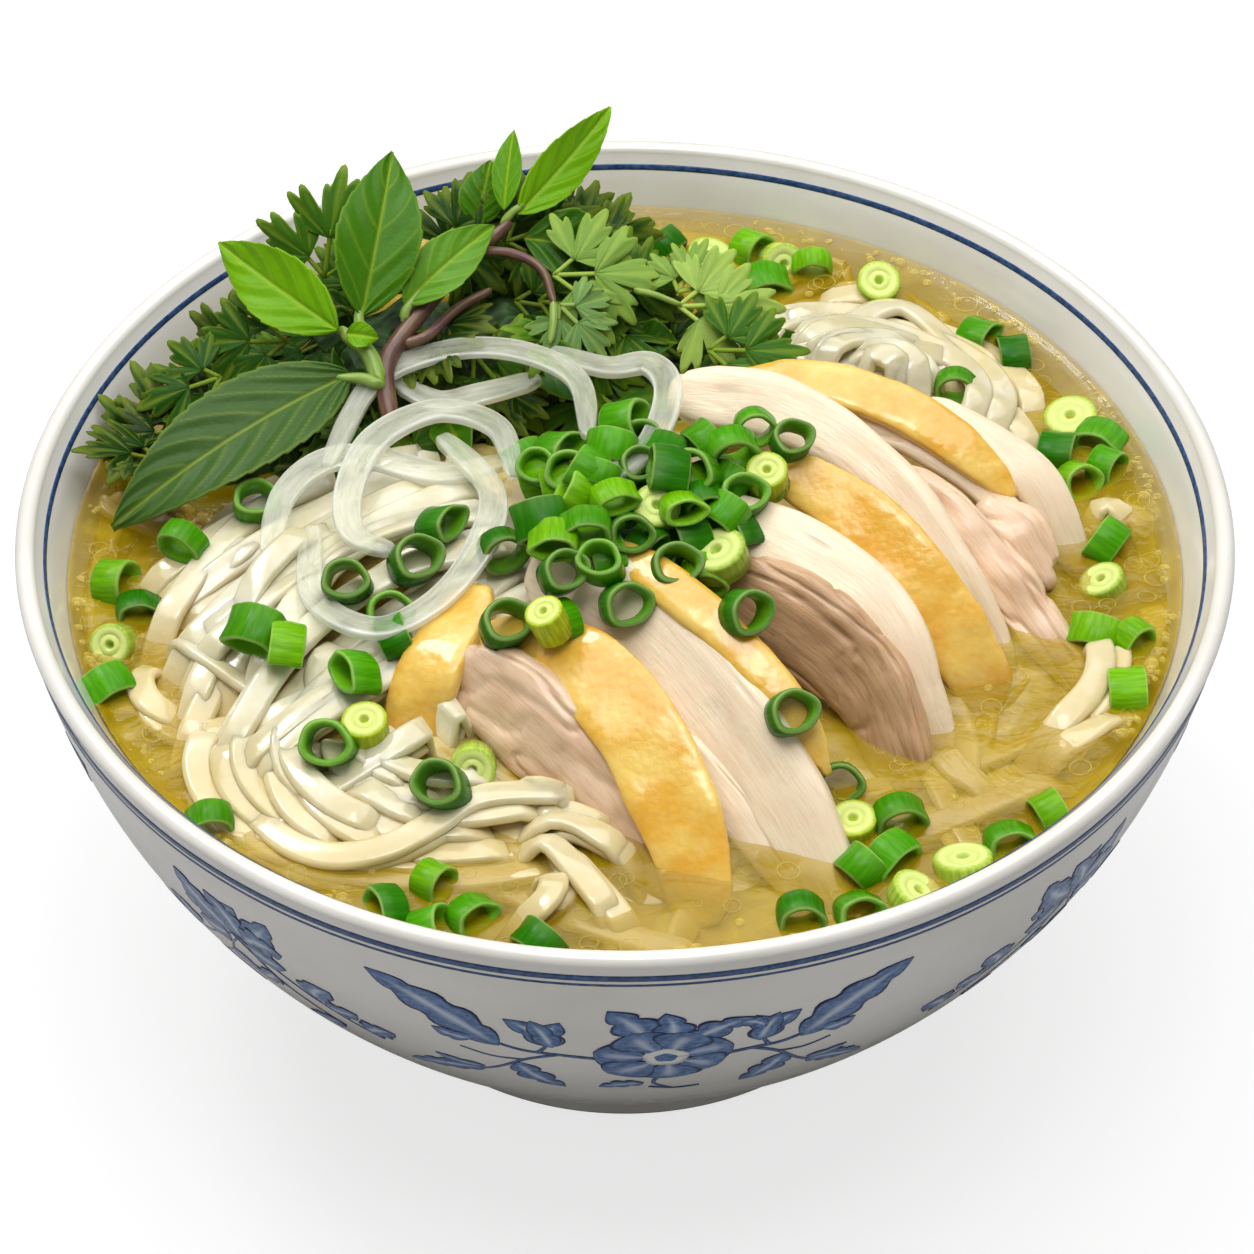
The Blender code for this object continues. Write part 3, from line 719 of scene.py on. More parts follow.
def make_bowl():
    sides = 200
    profile = [(0.02, FOOT_RECESS + 1.0), (20.0, FOOT_RECESS + 0.6), (FOOT_RADIUS - 6.5, FOOT_RECESS)]
    profile += [(FOOT_RADIUS - 5.7, 0.8), (FOOT_RADIUS - 4.9, 0.0), (FOOT_RADIUS - 1.6, 0.0)]
    profile += [(FOOT_RADIUS - 0.5, 0.35), (FOOT_RADIUS, 1.2), (FOOT_RADIUS + 0.6, FOOT_HEIGHT - 1.4)]
    profile += [(FOOT_RADIUS + 1.6, FOOT_HEIGHT - 0.2)]
    heights = FOOT_HEIGHT + (BOWL_HEIGHT - 2.2 - FOOT_HEIGHT) * np.linspace(0.07, 1, 46) ** 1.35
    profile += [(outer_radius(z), z) for z in heights]
    lip = LIP_THICKNESS / 2
    for angle in np.radians(np.linspace(12, 168, 13)):
        profile.append((RIM_RADIUS - lip + lip * math.cos(angle), BOWL_HEIGHT - lip + lip * math.sin(angle)))
    heights = BROTH_FLOOR + 0.6 + (BOWL_HEIGHT - 3.4 - BROTH_FLOOR) * np.linspace(1, 0.001, 44) ** 1.6
    profile += [(inner_radius(z), z) for z in heights]
    profile.append((0.02, BROTH_FLOOR))
    count = len(profile)
    faces = wrap_faces(sides, count) + pole_faces(sides, count)
    piece = closed_mesh("glazed_bowl", turned(profile, sides), faces, porcelain_finish())
    return set_down(piece, "bowl")


# ---------------------------------------------------------------- painted decoration

FLOWER_BEARING = -86.0
FLOWER_RUN = 67.6
WALL_Z = np.linspace(FOOT_HEIGHT + 0.5, BOWL_HEIGHT - 1.0, 400)
WALL_RUN = np.concatenate([[0.0], np.cumsum(np.hypot(np.diff(WALL_Z), np.diff(outer_radius(WALL_Z))))])


def on_wall(flat, bearing, lift):
    """Flat drawing points, along and up the wall in millimetres, laid on the outer wall."""
    flat = np.asarray(flat, float)
    z = np.interp(flat[..., 1], WALL_RUN, WALL_Z)
    radius = outer_radius(z)
    angle = math.radians(bearing) + flat[..., 0] / radius
    slope = (outer_radius(z + 0.1) - outer_radius(z - 0.1)) / 0.2
    tilt = 1 / np.sqrt(1 + slope ** 2)
    reach = radius + lift * tilt
    return np.stack([reach * np.cos(angle), reach * np.sin(angle), z - lift * slope * tilt], axis=-1)


def painted_band(name, low, high, radius_of, material):
    """A painted line from low to high below the rim: a thin closed hoop, a hair proud of the glaze."""
    lift = 0.05
    heights = np.linspace(BOWL_HEIGHT - low, BOWL_HEIGHT - high, 4)
    profile = [(float(radius_of(z)) + lift, z) for z in heights]
    profile += [(float(radius_of(z)) - lift, z) for z in heights[::-1]]
    sides = 200
    edge = np.full(sides * len(profile), 0.86)
    faces = hoop_faces(sides, len(profile))
    return closed_mesh(name, turned(profile, sides), faces, material, {"edge": edge, "pale": 0 * edge})


def brush_stroke(base, tip, width, bend=0.0, teeth=0, fullness=0.8, vein=1.0, rows=22, columns=12):
    """A painted leaf or petal, flat: its points, how near each is to the outline, and its pale vein."""
    base = np.array(base, float)
    tip = np.array(tip, float)
    t = np.linspace(0, 1, rows)[:, None]
    v = np.linspace(-1, 1, columns + 1)[None, :]
    forward = tip - base
    side = np.array([-forward[1], forward[0]]) / np.linalg.norm(forward)
    half = width / 2 * np.sin(np.pi * np.clip(t, 0.001, 0.999) ** fullness) ** 0.75
    if teeth:
        half = half * (0.6 + 0.44 * np.abs(np.sin(np.pi * teeth * t)) ** 0.6 * np.ones_like(v))
    spine = base + forward * t[..., None] + side * (bend * 4 * t * (1 - t))[..., None]
    points = spine + side * (half * v)[..., None]
    near = np.maximum(np.abs(v) * np.ones_like(t), step_up(t, 0.9, 1.0) * np.ones_like(v))
    pale = vein * np.exp(-(v / 0.2) ** 2) * step_up(t, 0.0, 0.25) * (1 - step_up(t, 0.6, 0.95))
    return points, near, pale


class Drawing:
    """A motif drawn in strokes on the flat and then laid on the wall."""

    def __init__(self, bearing):
        self.bearing = bearing
        self.pieces = []
        self.lift = 0.05

    def lay(self, flat, near, pale, material):
        flat = np.array(flat) + [0.0, FLOWER_RUN]
        grid = on_wall(flat, self.bearing, self.lift)
        normals = unit(on_wall(flat, self.bearing, self.lift + 1.0) - grid)
        points, faces = sheet_solid(grid, normals, self.lift + 0.06)
        layers = {"edge": np.tile(near.ravel(), 2), "pale": np.tile(pale.ravel(), 2)}
        self.pieces.append(closed_mesh("stroke", points, faces, material, layers))
        self.lift += 0.004

    def leaf(self, material, *shape, **options):
        self.lay(*brush_stroke(*shape, **options), material)

    def stem(self, material, path, width=0.8):
        shares = np.linspace(0, 1, 24)
        line = run_along(path, shares)
        forward = unit(np.gradient(line, axis=0))
        side = np.stack([-forward[:, 1], forward[:, 0]], axis=-1)
        half = width / 2 * (1 - 0.5 * shares)
        offsets = np.array([-1.0, 0.0, 1.0])
        flat = line[:, None] + side[:, None] * (half[:, None] * offsets)[..., None]
        near = np.broadcast_to([0.9, 0.8, 0.9], flat.shape[:2])
        self.lay(flat, np.array(near), np.zeros(flat.shape[:2]), material)


# Stems are a path and a width; leaves are base, tip, width, bend and teeth, for the right-hand side.
SPRAY_STEMS = [
    ([(9, -1), (16, 0), (22, 0.6), (28, 4), (33, 9)], 1.2),
    ([(16, 0), (21, -4), (27, -10), (36, -15)], 1.0),
    ([(19, 0.4), (18, 3), (17.5, 6)], 0.9),
    ([(21, -4), (26, -4.6), (31, -2.6)], 0.7),
]
SPRAY_LEAVES = [
    ((25, 1), (46, 18.6), 9.6, 1.6, 4), ((29, 2), (35.5, 3.6), 4.4, -0.8, 2),
    ((17.5, 3.4), (24.5, 12), 5.8, 1.4, 2), ((17, 3.4), (16, 12.8), 5.8, -1.2, 2),
    ((17, 3), (20.5, 12.5), 5.0, 0.4, 2), ((22, -6), (14.5, -14.5), 6.4, 1.0, 3),
    ((27, -10), (39, -16), 6.0, 1.0, 4), ((27, -9), (35, -7.6), 3.4, -1.0, 2),
]
SPRIG_STEMS = [([(-6, 14), (0, 7), (9, -2), (17, -9), (22, -13)], 0.7),
               ([(-2, 8), (2, 2), (6, -6), (14, -15)], 0.6)]
SPRIG_LEAVES = [
    ((0, 7), (-10, 18), 8.0, 1.2, 4), ((1.5, 7), (-3.2, 17.5), 7.0, -1.4, 3),
    ((2, 6.5), (10.6, 9), 8.4, 1.4, 3), ((2, 5), (9.5, 3.2), 6.8, -0.9, 2),
    ((12.5, -4), (17.5, 2.5), 7.0, 1.3, 2), ((14, -5.5), (20.5, -3.5), 5.6, -0.8, 2),
    ((20, -11), (26, -6.8), 6.4, 1.0, 3), ((4.5, -3), (-1.5, -9.5), 5.0, 0.8, 2),
    ((13, -14), (5, -19), 5.6, 0.8, 3),
]


def spray(drawing, blue, hand, stems, leaves, stretch=1.0, low_stretch=1.0):
    """Stems and leaves to one side; hand is -1 for left and 1 for right."""
    def at(place):
        x, y = place
        return (hand * x * stretch, y * (low_stretch if y < -6 else 1.0))

    for path, width in stems:
        drawing.stem(blue, [at(place) for place in path], width)
    for base, tip, width, bend, teeth in leaves:
        drawing.leaf(blue, at(base), at(tip), width, hand * bend, teeth=teeth)


def flower_drawing(blue, white):
    """The main flower with its sprays, centred on a bearing of 0."""
    drawing = Drawing(0.0)
    spray(drawing, blue, -1, SPRAY_STEMS, SPRAY_LEAVES, 1.05, 1.3)
    spray(drawing, blue, 1, SPRAY_STEMS, SPRAY_LEAVES, 0.86, 1.3)
    drawing.stem(blue, [(0, -8), (-1.5, -14), (1.5, -18.5)], 0.8)
    drawing.stem(blue, [(-2, -17), (2, -18.8), (6, -18)], 0.7)
    drawing.leaf(blue, (-3, -14), (-10, -17), 4.6, -0.7, teeth=3)
    drawing.leaf(blue, (-2.5, 6), (-9.5, 17.5), 8.4, -1.0, teeth=3)
    drawing.leaf(blue, (0, 6), (-0.5, 16.5), 7.0, -1.2, teeth=3)
    drawing.leaf(blue, (3, 5), (13.5, 12.5), 6.6, 1.4, teeth=3)
    drawing.leaf(blue, (11.5, 11.5), (15.5, 8), 3.6, 0.9, teeth=2)
    petals = 7
    for i in range(petals):
        angle = 2 * math.pi * (i * 3 % petals + 0.3) / petals
        reach = 11.0 + 0.8 * math.sin(2.3 * i)
        tip = (reach * math.cos(angle), reach * math.sin(angle))
        start = (2.2 * math.cos(angle), 2.2 * math.sin(angle))
        drawing.leaf(blue, start, tip, 10.4, 0.5, fullness=1.55, vein=0.8, columns=14)
    ring(drawing, white, 3.6, 0.2)
    ring(drawing, blue, 1.8, 0.85)
    return drawing.pieces


def ring(drawing, material, radius, edge):
    """A painted disc with a darker rim."""
    angles = np.linspace(0, 2 * np.pi, 25)
    steps = np.linspace(0.02, 1, 5)
    wobble = 1 + 0.06 * np.sin(5 * angles)
    flat = np.stack([radius * steps[:, None] * np.cos(angles) * wobble,
                     radius * steps[:, None] * np.sin(angles) * wobble], axis=-1)
    near = np.broadcast_to((edge * steps ** 4)[:, None], flat.shape[:2])
    drawing.lay(flat, np.array(near), np.zeros(flat.shape[:2]), material)


def sprig_drawing(blue):
    """The smaller crossing sprigs between two flowers, centred on a bearing of 45."""
    drawing = Drawing(45.0)
    for hand in (-1, 1):
        spray(drawing, blue, hand, SPRIG_STEMS, SPRIG_LEAVES)
    return drawing.pieces


def make_decoration():
    blue = cobalt_finish()
    white = Finish("painted_white", Base_Color=rgb(232, 232, 226), Roughness=0.16).material
    pieces = [
        painted_band("thick_line", 5.4, 3.9, outer_radius, blue),
        painted_band("thin_line", 6.8, 6.2, outer_radius, blue),
        painted_band("inner_line", 3.4, 2.5, inner_radius, blue),
    ]
    strokes = flower_drawing(blue, white) + sprig_drawing(blue)
    whites = [s for s in strokes if s.data.materials[0] == white]
    blues = [s for s in strokes if s.data.materials[0] != white]
    turns = [(0.0, 0.0, math.radians(FLOWER_BEARING + 90.0 * i)) for i in range(4)]
    for name, parts, finish in (("painted_flowers", blues, blue), ("flower_hearts", whites, white)):
        motif = join("motif", parts) if len(parts) > 1 else parts[0]
        pieces.append(copies(name, motif, [(0, 0, 0)] * 4, turns, [1.0] * 4, finish))
        bpy.data.objects.remove(motif)
    for piece in pieces:
        set_down(piece)


# ---------------------------------------------------------------- broth

def skin_height(reach):
    """Height of the broth's skin, which climbs a little at the wall."""
    edge = float(inner_radius(BROTH_LEVEL))
    return BROTH_LEVEL + 0.75 * step_up(np.asarray(reach, float), edge - 2.4, edge) ** 2


def make_broth():
    """A golden body with its floor hidden, under a clear glossy skin that climbs a little at the wall."""
    sides = 140
    deep_top = BROTH_LEVEL - 6.5
    heights = np.linspace(BROTH_FLOOR + 1.5, deep_top, 16)
    profile = [(0.02, BROTH_FLOOR + 1.5)] + [(float(inner_radius(z)) + 0.4, z) for z in heights[1:]]
    profile += [(float(inner_radius(deep_top)) * s, deep_top) for s in (0.9, 0.7, 0.5, 0.25)]
    profile.append((0.02, deep_top))
    faces = wrap_faces(sides, len(profile)) + pole_faces(sides, len(profile))
    set_down(closed_mesh("broth_depths", turned(profile, sides), faces, depths_finish()), "broth")
    edge = float(inner_radius(BROTH_LEVEL))
    shares = np.concatenate([np.linspace(0.02, edge - 3, 40), edge - 3 + np.linspace(0.3, 3.3, 9)])
    rings = turned(np.stack([shares, skin_height(shares)], axis=-1), sides)
    ripple = 0.12 * waves(rings, 14.0, 3) + 0.05 * waves(rings, 4.0, 5)
    rings[..., 2] += ripple * (1 - step_up(shares, edge - 4, edge))[None, :]
    faces = wrap_faces(sides, len(shares))
    faces.append(tuple(i * len(shares) for i in range(sides)))
    skin = add_mesh("broth_surface", rings, faces, film_finish())
    if skin.data.polygons[0].normal.z < 0:
        skin.data.flip_normals()
    return set_down(skin)


# ---------------------------------------------------------------- noodles

NOODLE_WIDTH = 4.9
NOODLE_THICKNESS = 2.0
END_DIP = 7.0
SUNK_STRANDS = 40
# Middle, spread right and back, height, and lean in degrees of each hump of the heap.
NOODLE_HUMPS = [
    ((-32, -4), (25, 24), 14.0, 0), ((28, -2), (27, 30), 15.0, -35), ((-26, -50), (26, 13), 7.5, -8),
    ((-62, -24), (13, 20), 6.0, 0), ((42, 43), (22, 11), 8.0, -35), ((4, 20), (26, 20), 7.0, 0),
]


def noodle_top(x, y):
    """Height of the noodle heap, as the CAD solid has it."""
    total = np.zeros(np.broadcast(x, y).shape)
    for centre, spread, height, lean in NOODLE_HUMPS:
        turn = math.radians(lean)
        u = ((x - centre[0]) * math.cos(turn) + (y - centre[1]) * math.sin(turn)) / spread[0]
        v = ((y - centre[1]) * math.cos(turn) - (x - centre[0]) * math.sin(turn)) / spread[1]
        total = total + height * np.exp(-0.5 * (u * u + v * v))
    return 79.5 + np.minimum(total, 16.0)


LEADING_STRANDS = [
    [(2, -61, 85), (-4, -59, 87), (-12, -58, 88), (-23, -59, 88), (-30, -64, 87), (-37, -68, 86),
     (-45, -69, 85), (-52, -66, 84.5), (-58, -59, 84), (-61, -52, 83)],
    [(-52, -39, 87), (-55, -46, 87), (-55, -52, 86.5), (-52, -60, 86), (-46, -65, 85.5), (-40, -66, 85)],
    [(-47, -45, 88), (-53, -47, 88.5), (-51, -54, 88.5), (-46, -60, 88), (-40, -63, 87), (-32, -64, 86)],
    [(-46, -53, 88), (-40, -58, 88), (-34, -61, 87), (-26, -62, 86)],
    [(-74, -23, 86), (-72, -23, 88), (-67, -28, 88.5), (-60, -34, 88), (-52, -39, 86.5), (-47, -42, 85)],
    [(-64, -36, 84.5), (-74, -36, 84.5), (-78, -31, 84.5), (-77, -26, 84), (-71, -23, 83)],
    [(-66, -33, 86.5), (-65, -42, 85), (-65, -47, 83), (-63, -53, 82)],
    [(-65, -27, 88), (-62, -21, 92), (-59, -15, 95), (-53, -8, 97), (-45, -2, 98)],
    [(-75, -11, 85.5), (-69, -8, 87), (-63, -4, 90), (-60, 1, 92)],
    [(-59, -23, 90), (-54, -20, 92), (-48, -20, 93)],
    [(-42, -25, 92), (-48, -30, 91), (-49, -36, 89), (-47, -43, 87)],
    [(-36, -25, 90), (-39, -33, 89), (-40, -38, 87)],
    [(-23, -60, 87), (-15, -57, 88), (-8, -59, 87.5), (-2, -63, 86.5), (5, -70, 83)],
    [(-21, -68, 85.5), (-13, -67, 86.5), (-8, -72, 86), (-3, -79, 84.5), (0, -83, 82)],
    [(-20, -63, 86.5), (-10, -63, 87), (-3, -66, 86), (3, -70, 84)],
    [(-19, -82, 84.5), (-13, -80, 85.5), (-11, -75, 86), (-15, -72, 85)],
    [(36, 46, 87), (38, 51, 88.5), (42, 57, 89), (48, 60, 88), (54, 55, 86.5), (60, 44, 85), (62, 39, 83)],
    [(43, 39, 90), (48, 46, 90), (54, 47, 88), (58, 45, 86)],
    [(25, 54, 89), (30, 56, 89), (36, 52, 88), (44, 49, 87)],
    [(31, 67, 84), (37, 67, 84.5), (44, 68, 84), (53, 65, 83)],
    [(61, 36, 86), (65, 34, 86.5), (68, 28, 85.5), (68, 26, 83)],
    [(77, 11, 84), (81, 13, 84.5), (85, 9, 83.5)],
    [(74, -20, 83.5), (77, -22, 85.5), (76, -30, 85.5), (71, -37, 84.5), (61, -46, 82.5)],
    [(81, -34, 83.5), (74, -40, 83.5), (65, -46, 82)],
    [(73, -45, 82), (60, -53, 81.5), (48, -59, 81), (37, -63, 80.5)],
    [(61, -54, 82), (53, -47, 82), (50, -41, 83)],
    [(-82, 2, 82), (-78, -7, 82), (-69, -17, 82)],
]


def fine_strand(points, rng, twist=16.0):
    """A strand's close-set points, its tilts and its shares of the width; both ends dive."""
    points = np.asarray(points, float)
    length = np.linalg.norm(np.diff(points, axis=0), axis=1).sum()
    shares = np.linspace(0, 1, max(int(length / 1.6), 8))
    line = run_along(points, shares)
    from_end = np.minimum(shares, 1 - shares) * length
    line[:, 2] -= END_DIP * (1 - step_up(from_end, 0.0, min(9.0, 0.3 * length)))
    start = rng.uniform(-twist, twist)
    swing = rng.uniform(0.6, 1.6)
    tilts = start + twist * np.sin(2 * np.pi * swing * shares + rng.uniform(0, 6))
    share = 0.96 + 0.06 * np.sin(2 * np.pi * rng.uniform(0.5, 1.5) * shares + rng.uniform(0, 6))
    return line, tilts, share


def held_under(line, cover):
    """The line pressed down wherever the topping over it would be pierced."""
    line = line.copy()
    for point in line:
        hit = cover.ray_cast(Vector((point[0] * MM, point[1] * MM, 60 * MM)), Vector((0, 0, 1)), 70 * MM)
        if hit[0] is not None:
            point[2] = min(point[2], hit[0].z / MM - 1.4)
    return line


def inside_bowl(line):
    """The line moved in from the wall."""
    line = line.copy()
    reach = np.hypot(line[:, 0], line[:, 1])
    limit = inner_radius(np.clip(line[:, 2], 20, BROTH_LEVEL)) - 3.2
    share = np.minimum(1.0, limit / np.maximum(reach, 1e-6))
    line[:, :2] *= share[:, None]
    return line


def make_noodles(cover):
    rng = random.Random(41)
    strands = []
    for path in LEADING_STRANDS:
        strands.append(settled(np.asarray(path, float), rng, cover, 12.0))
        shift = np.array([rng.uniform(-4, 4), rng.uniform(-4, 4), -1.7])
        strands.append(settled(np.asarray(path, float) + shift, rng, cover, 14.0))
    strands += falling_strands(rng, cover) + curling_strands(rng, cover) + back_strands(rng, cover)
    strands += [sunk_strand(rng, cover) for _ in range(SUNK_STRANDS)]
    piece = ribbons("rice_noodles", strands, NOODLE_WIDTH, NOODLE_THICKNESS, noodle_finish())
    return set_down(piece), set_down(heap_core(), "noodle_heap")


def settled(points, rng, cover, twist):
    """A strand's points drawn fine, kept off the wall and under the toppings."""
    line, tilts, share = fine_strand(points, rng, twist)
    return held_under(inside_bowl(line), cover), tilts, share


def on_heap(flat, drop):
    """Points on the noodle heap, drop millimetres under its top."""
    flat = np.asarray(flat, float)
    return np.column_stack([flat, noodle_top(flat[:, 0], flat[:, 1]) + 1.2 - drop])


def falling_strands(rng, cover):
    """Strands that run down the left of the heap from under the onion, side by side."""
    strands = []
    for layer in range(3):
        for i in range(10):
            share = (i + rng.uniform(-0.35, 0.35)) / 9
            start = np.array([-3 - 25 * share, -24 + 46 * share])
            end = np.array([-52 - 24 * share, -62 + 54 * share]) + [rng.uniform(-6, 6), rng.uniform(-6, 6)]
            bow = np.array([end[1] - start[1], start[0] - end[0]]) * rng.uniform(-0.05, 0.24)
            flat = [start + (end - start) * t + bow * math.sin(math.pi * t) for t in np.linspace(0, 1.12, 8)]
            strands.append(settled(on_heap(flat, 0.3 + 1.5 * layer), rng, cover, 12.0))
    return strands


def arc_points(centre, stretch, reach, first, last, count):
    """Points on a stretched arc between two bearings in degrees."""
    bearings = [math.radians(a) for a in np.linspace(first, last, count)]
    return [(centre[0] + reach * stretch[0] * math.cos(a), centre[1] + reach * stretch[1] * math.sin(a))
            for a in bearings]


def curling_strands(rng, cover):
    """Strands that sweep round the front of the heap in nested curls."""
    strands = []
    for layer in range(3):
        for i in range(8):
            reach = 9 + 3.4 * i + rng.uniform(-1, 1)
            first = rng.uniform(150, 190)
            last = first + rng.uniform(90, 150)
            flat = arc_points((-27, -48), (1.25, 0.72), reach, first, last, 7)
            strands.append(settled(on_heap(flat, 0.6 + 1.4 * layer), rng, cover, 12.0))
    return strands


def back_strands(rng, cover):
    """The hank behind the chicken on the right."""
    strands = []
    for layer in range(3):
        for i in range(9):
            reach = 4 + 2.6 * i + rng.uniform(-0.8, 0.8)
            first = rng.uniform(140, 190)
            last = first - rng.uniform(120, 190)
            flat = arc_points((43, 37), (1.05, 0.92), reach, first, last, 8)
            strands.append(settled(on_heap(flat, 0.2 + 1.5 * layer), rng, cover, 22.0))
    return strands


def sunk_strand(rng, cover):
    """A long lazy strand under the broth's surface."""
    reach = 40 + 44 * rng.random()
    angle = rng.uniform(0, 2 * math.pi)
    spot = np.array([reach * math.cos(angle), reach * math.sin(angle)])
    heading = angle + rng.choice((-1, 1)) * rng.uniform(1.2, 1.9)
    curl = rng.uniform(0.04, 0.3)
    depth = BROTH_LEVEL - rng.uniform(2.4, 5.8)
    points = []
    for _ in range(rng.randint(7, 12)):
        points.append((spot[0], spot[1], depth + rng.uniform(-0.3, 0.3)))
        heading += curl + rng.uniform(-0.06, 0.06)
        spot = spot + 9.0 * np.array([math.cos(heading), math.sin(heading)])
    return settled(points, rng, cover, 30.0)


def heap_core():
    """The smaller heap under the strands, whose finish paints the shade in the gaps between them."""
    sides = 96
    reach = 80.0
    shares = np.linspace(0.01, 1, 40)
    grid = turned(np.stack([shares * reach, 0 * shares], axis=-1), sides)
    grid[..., 2] = noodle_top(grid[..., 0], grid[..., 1]) - 4.2 + 0.8 * waves(grid, 6.0, 8)
    grid[..., 2] -= 9.0 * step_up(shares, 0.9, 1.0)[None, :]
    faces = wrap_faces(sides, len(shares))
    count = len(shares)
    floor = grid[:, -1] * [1, 1, 0] + [0, 0, 66.0]
    points = np.concatenate([grid.reshape(-1, 3), floor])
    first = sides * count
    for i in range(sides):
        k = (i + 1) % sides
        faces.append((i * count + count - 1, k * count + count - 1, first + k, first + i))
    faces.append(tuple(first + i for i in range(sides)))
    faces.append(tuple(i * count for i in range(sides)))
    return closed_mesh("noodle_core", points, faces, noodle_core_finish())


# ---------------------------------------------------------------- chicken

SKINS = {
    "thigh_skin_end": ([(-24, -22, 98.5), (-30, -34, 97.5), (-33, -41, 92), (-33, -46, 82)],
                       [9, 11, 11, 9], 3.6, [10, 10]),
    "thigh_skin": ([(-23, -32, 97), (-9, -40, 100.5), (1, -52, 98), (9, -67, 89), (12, -77, 79)],
                   [9, 13, 14, 13, 10], 2.6, [30, 26, 24]),
    "breast_skin": ([(-7, -19, 107), (5, -29, 108), (16.5, -40, 105), (25.5, -49, 99.5), (31.5, -55.5, 91.5)],
                    [6, 7, 7, 6.5, 4], 4.4, [24, 22, 22]),
    "back_skin": ([(24, 0, 106), (38, -10, 103), (48, -20, 96.5), (56, -28, 88), (59, -31, 80)],
                  [8, 11, 12, 11, 9], 2.8, [34, 30, 26]),
    "far_skin": ([(20, 24, 104), (35, 21, 105), (47, 17, 102.5), (58, 11, 97.5), (64, 7, 93)],
                 [6, 8, 8, 7, 4], 2.6, [20, 20]),
}
WHITE_MEATS = {
    "breast_meat": ([(-14, -22, 103), (0, -33, 102.5), (13, -48, 97.5), (25, -63, 88.5), (33, -74, 78)],
                    [15, 17, 17, 15, 9], 5.0, [44, 42, 38]),
    "breast_under_meat": ([(8, -52, 93.5), (19, -63, 86), (29, -73, 78)], [6, 7, 5], 3.0, [38, 36]),
    "middle_meat": ([(9, -10, 104), (26, -18, 104.5), (40, -27, 99.5), (46, -37, 90), (50, -43, 80)],
                    [11, 12, 11, 10, 8], 4.0, [28, 26, 24]),
    "back_meat": ([(9, 20, 104), (25, 14, 106), (41, 2, 103), (53, -12, 94), (62, -23, 80)],
                  [11, 11, 9, 8, 7], 5.0, [30, 34, 30]),
    "far_meat": ([(50, 21, 100), (61, 15, 96.5), (69, 10, 92), (75, 2, 81)], [6, 8, 8, 6], 4.0, [20, 20]),
    "far_torn_meat": ([(36, 16, 99.5), (46, 15, 99), (56, 10, 95.5), (66, 3, 89)],
                      [5, 6, 6, 4], 3.0, [35, 35]),
}
DARK_MEATS = {
    "thigh_meat": ([(-26, -38, 95), (-15, -49, 93), (-5, -58, 88), (7, -71, 80)],
                   [14, 17, 13, 8], 6.0, [60, 55, 50]),
    "middle_dark_meat": ([(16, -22, 99), (28, -30, 97), (38, -38, 91), (44, -48, 80)],
                         [12, 16, 15, 11], 5.0, [62, 58, 52]),
    "far_dark_meat": ([(43, 4, 99), (53, -2, 96), (63, -12, 89), (74, -24, 79)], [8, 9, 9, 7], 4.5, [35, 35]),
    "far_torn_knob": ([(60, 3, 93.5), (65, -2, 93), (69, -7, 88)], [8, 10, 7], 7.0, [20, 20]),
}


def make_chicken():
    skin = skin_finish()
    white = meat_finish("white_meat", rgb(250, 230, 200), rgb(242, 216, 182), rgb(246, 218, 186))
    dark = meat_finish("dark_meat", rgb(236, 206, 174), rgb(218, 176, 138), rgb(222, 182, 150))
    # A darker copy of the dark meat: painted shade for middle_dark_meat.
    shaded_dark = meat_finish("brown_meat", rgb(206, 168, 128), rgb(166, 126, 88), rgb(190, 146, 110))
    kinds = ((SKINS, skin, "chicken_skin", cut_skin), (WHITE_MEATS, white, "white_meat", cut_white),
             (DARK_MEATS, dark, "dark_meat", cut_dark))
    pieces = []
    for rows, finish, slot, shape in kinds:
        for seed, (name, (path, widths, thickness, roll)) in enumerate(rows.items()):
            rings, normals, grain = slab(path, widths, thickness, roll, 0.42, 84)
            offset, crack = shape(rings, grain, seed * 13 + len(name))
            # middle_dark_meat takes the darker copy: painted shade.
            material = shaded_dark if name == "middle_dark_meat" else finish
            piece = add_slab("sliced_" + name, rings + normals * offset[..., None], material,
                             {"grain": grain.reshape(-1, 3), "crack": crack.ravel()})
            pieces.append(set_down(piece, name))
    return pieces


def cut_skin(rings, grain, seed):
    """Pores and soft folds; the edge is a little frayed."""
    folds = 0.4 * waves(rings, 7.0, seed) + 0.08 * waves(rings, 2.4, seed + 1)
    offset = folds + 0.03 * waves(rings, 1.0, seed + 2)
    return offset, 0 * offset


def cut_white(rings, grain, seed):
    """Long fine fibres with a few splits between the bundles."""
    fibres = 0.05 * waves(grain, (6, 0.75, 0.75), seed) + 0.1 * waves(grain, (12, 2.2, 2.2), seed + 1)
    splits = step_up(waves(grain, (10, 1.2, 1.2), seed + 2), 0.64, 0.95)
    cross = step_up(waves(grain, (0.9, 3.6, 3.0), seed + 3), 0.72, 0.95)
    offset = fibres + 0.35 * waves(rings, 8.0, seed + 4) - 0.4 * splits - 0.1 * cross
    # The second value marks the splits and cross cuts for painted shade.
    return offset, np.clip(0.35 * splits + 0.25 * cross, 0, 1)


def cut_dark(rings, grain, seed):
    """Bundles pulled apart, with deep gaps and torn knobs."""
    bundles = np.abs(waves(grain, (10, 2.6, 2.6), seed))
    gaps = 1 - step_up(bundles, 0.01, 0.16)
    offset = 0.5 * bundles + 0.12 * waves(grain, (4, 1.2, 1.2), seed + 1)
    offset = offset + 0.05 * waves(grain, (4, 0.6, 0.6), seed + 2) + 0.6 * waves(rings, 5.0, seed + 3)
    # The second value marks the gaps for painted shade.
    return offset - 0.4 * gaps - 0.2, gaps * 0.45


# ---------------------------------------------------------------- onion

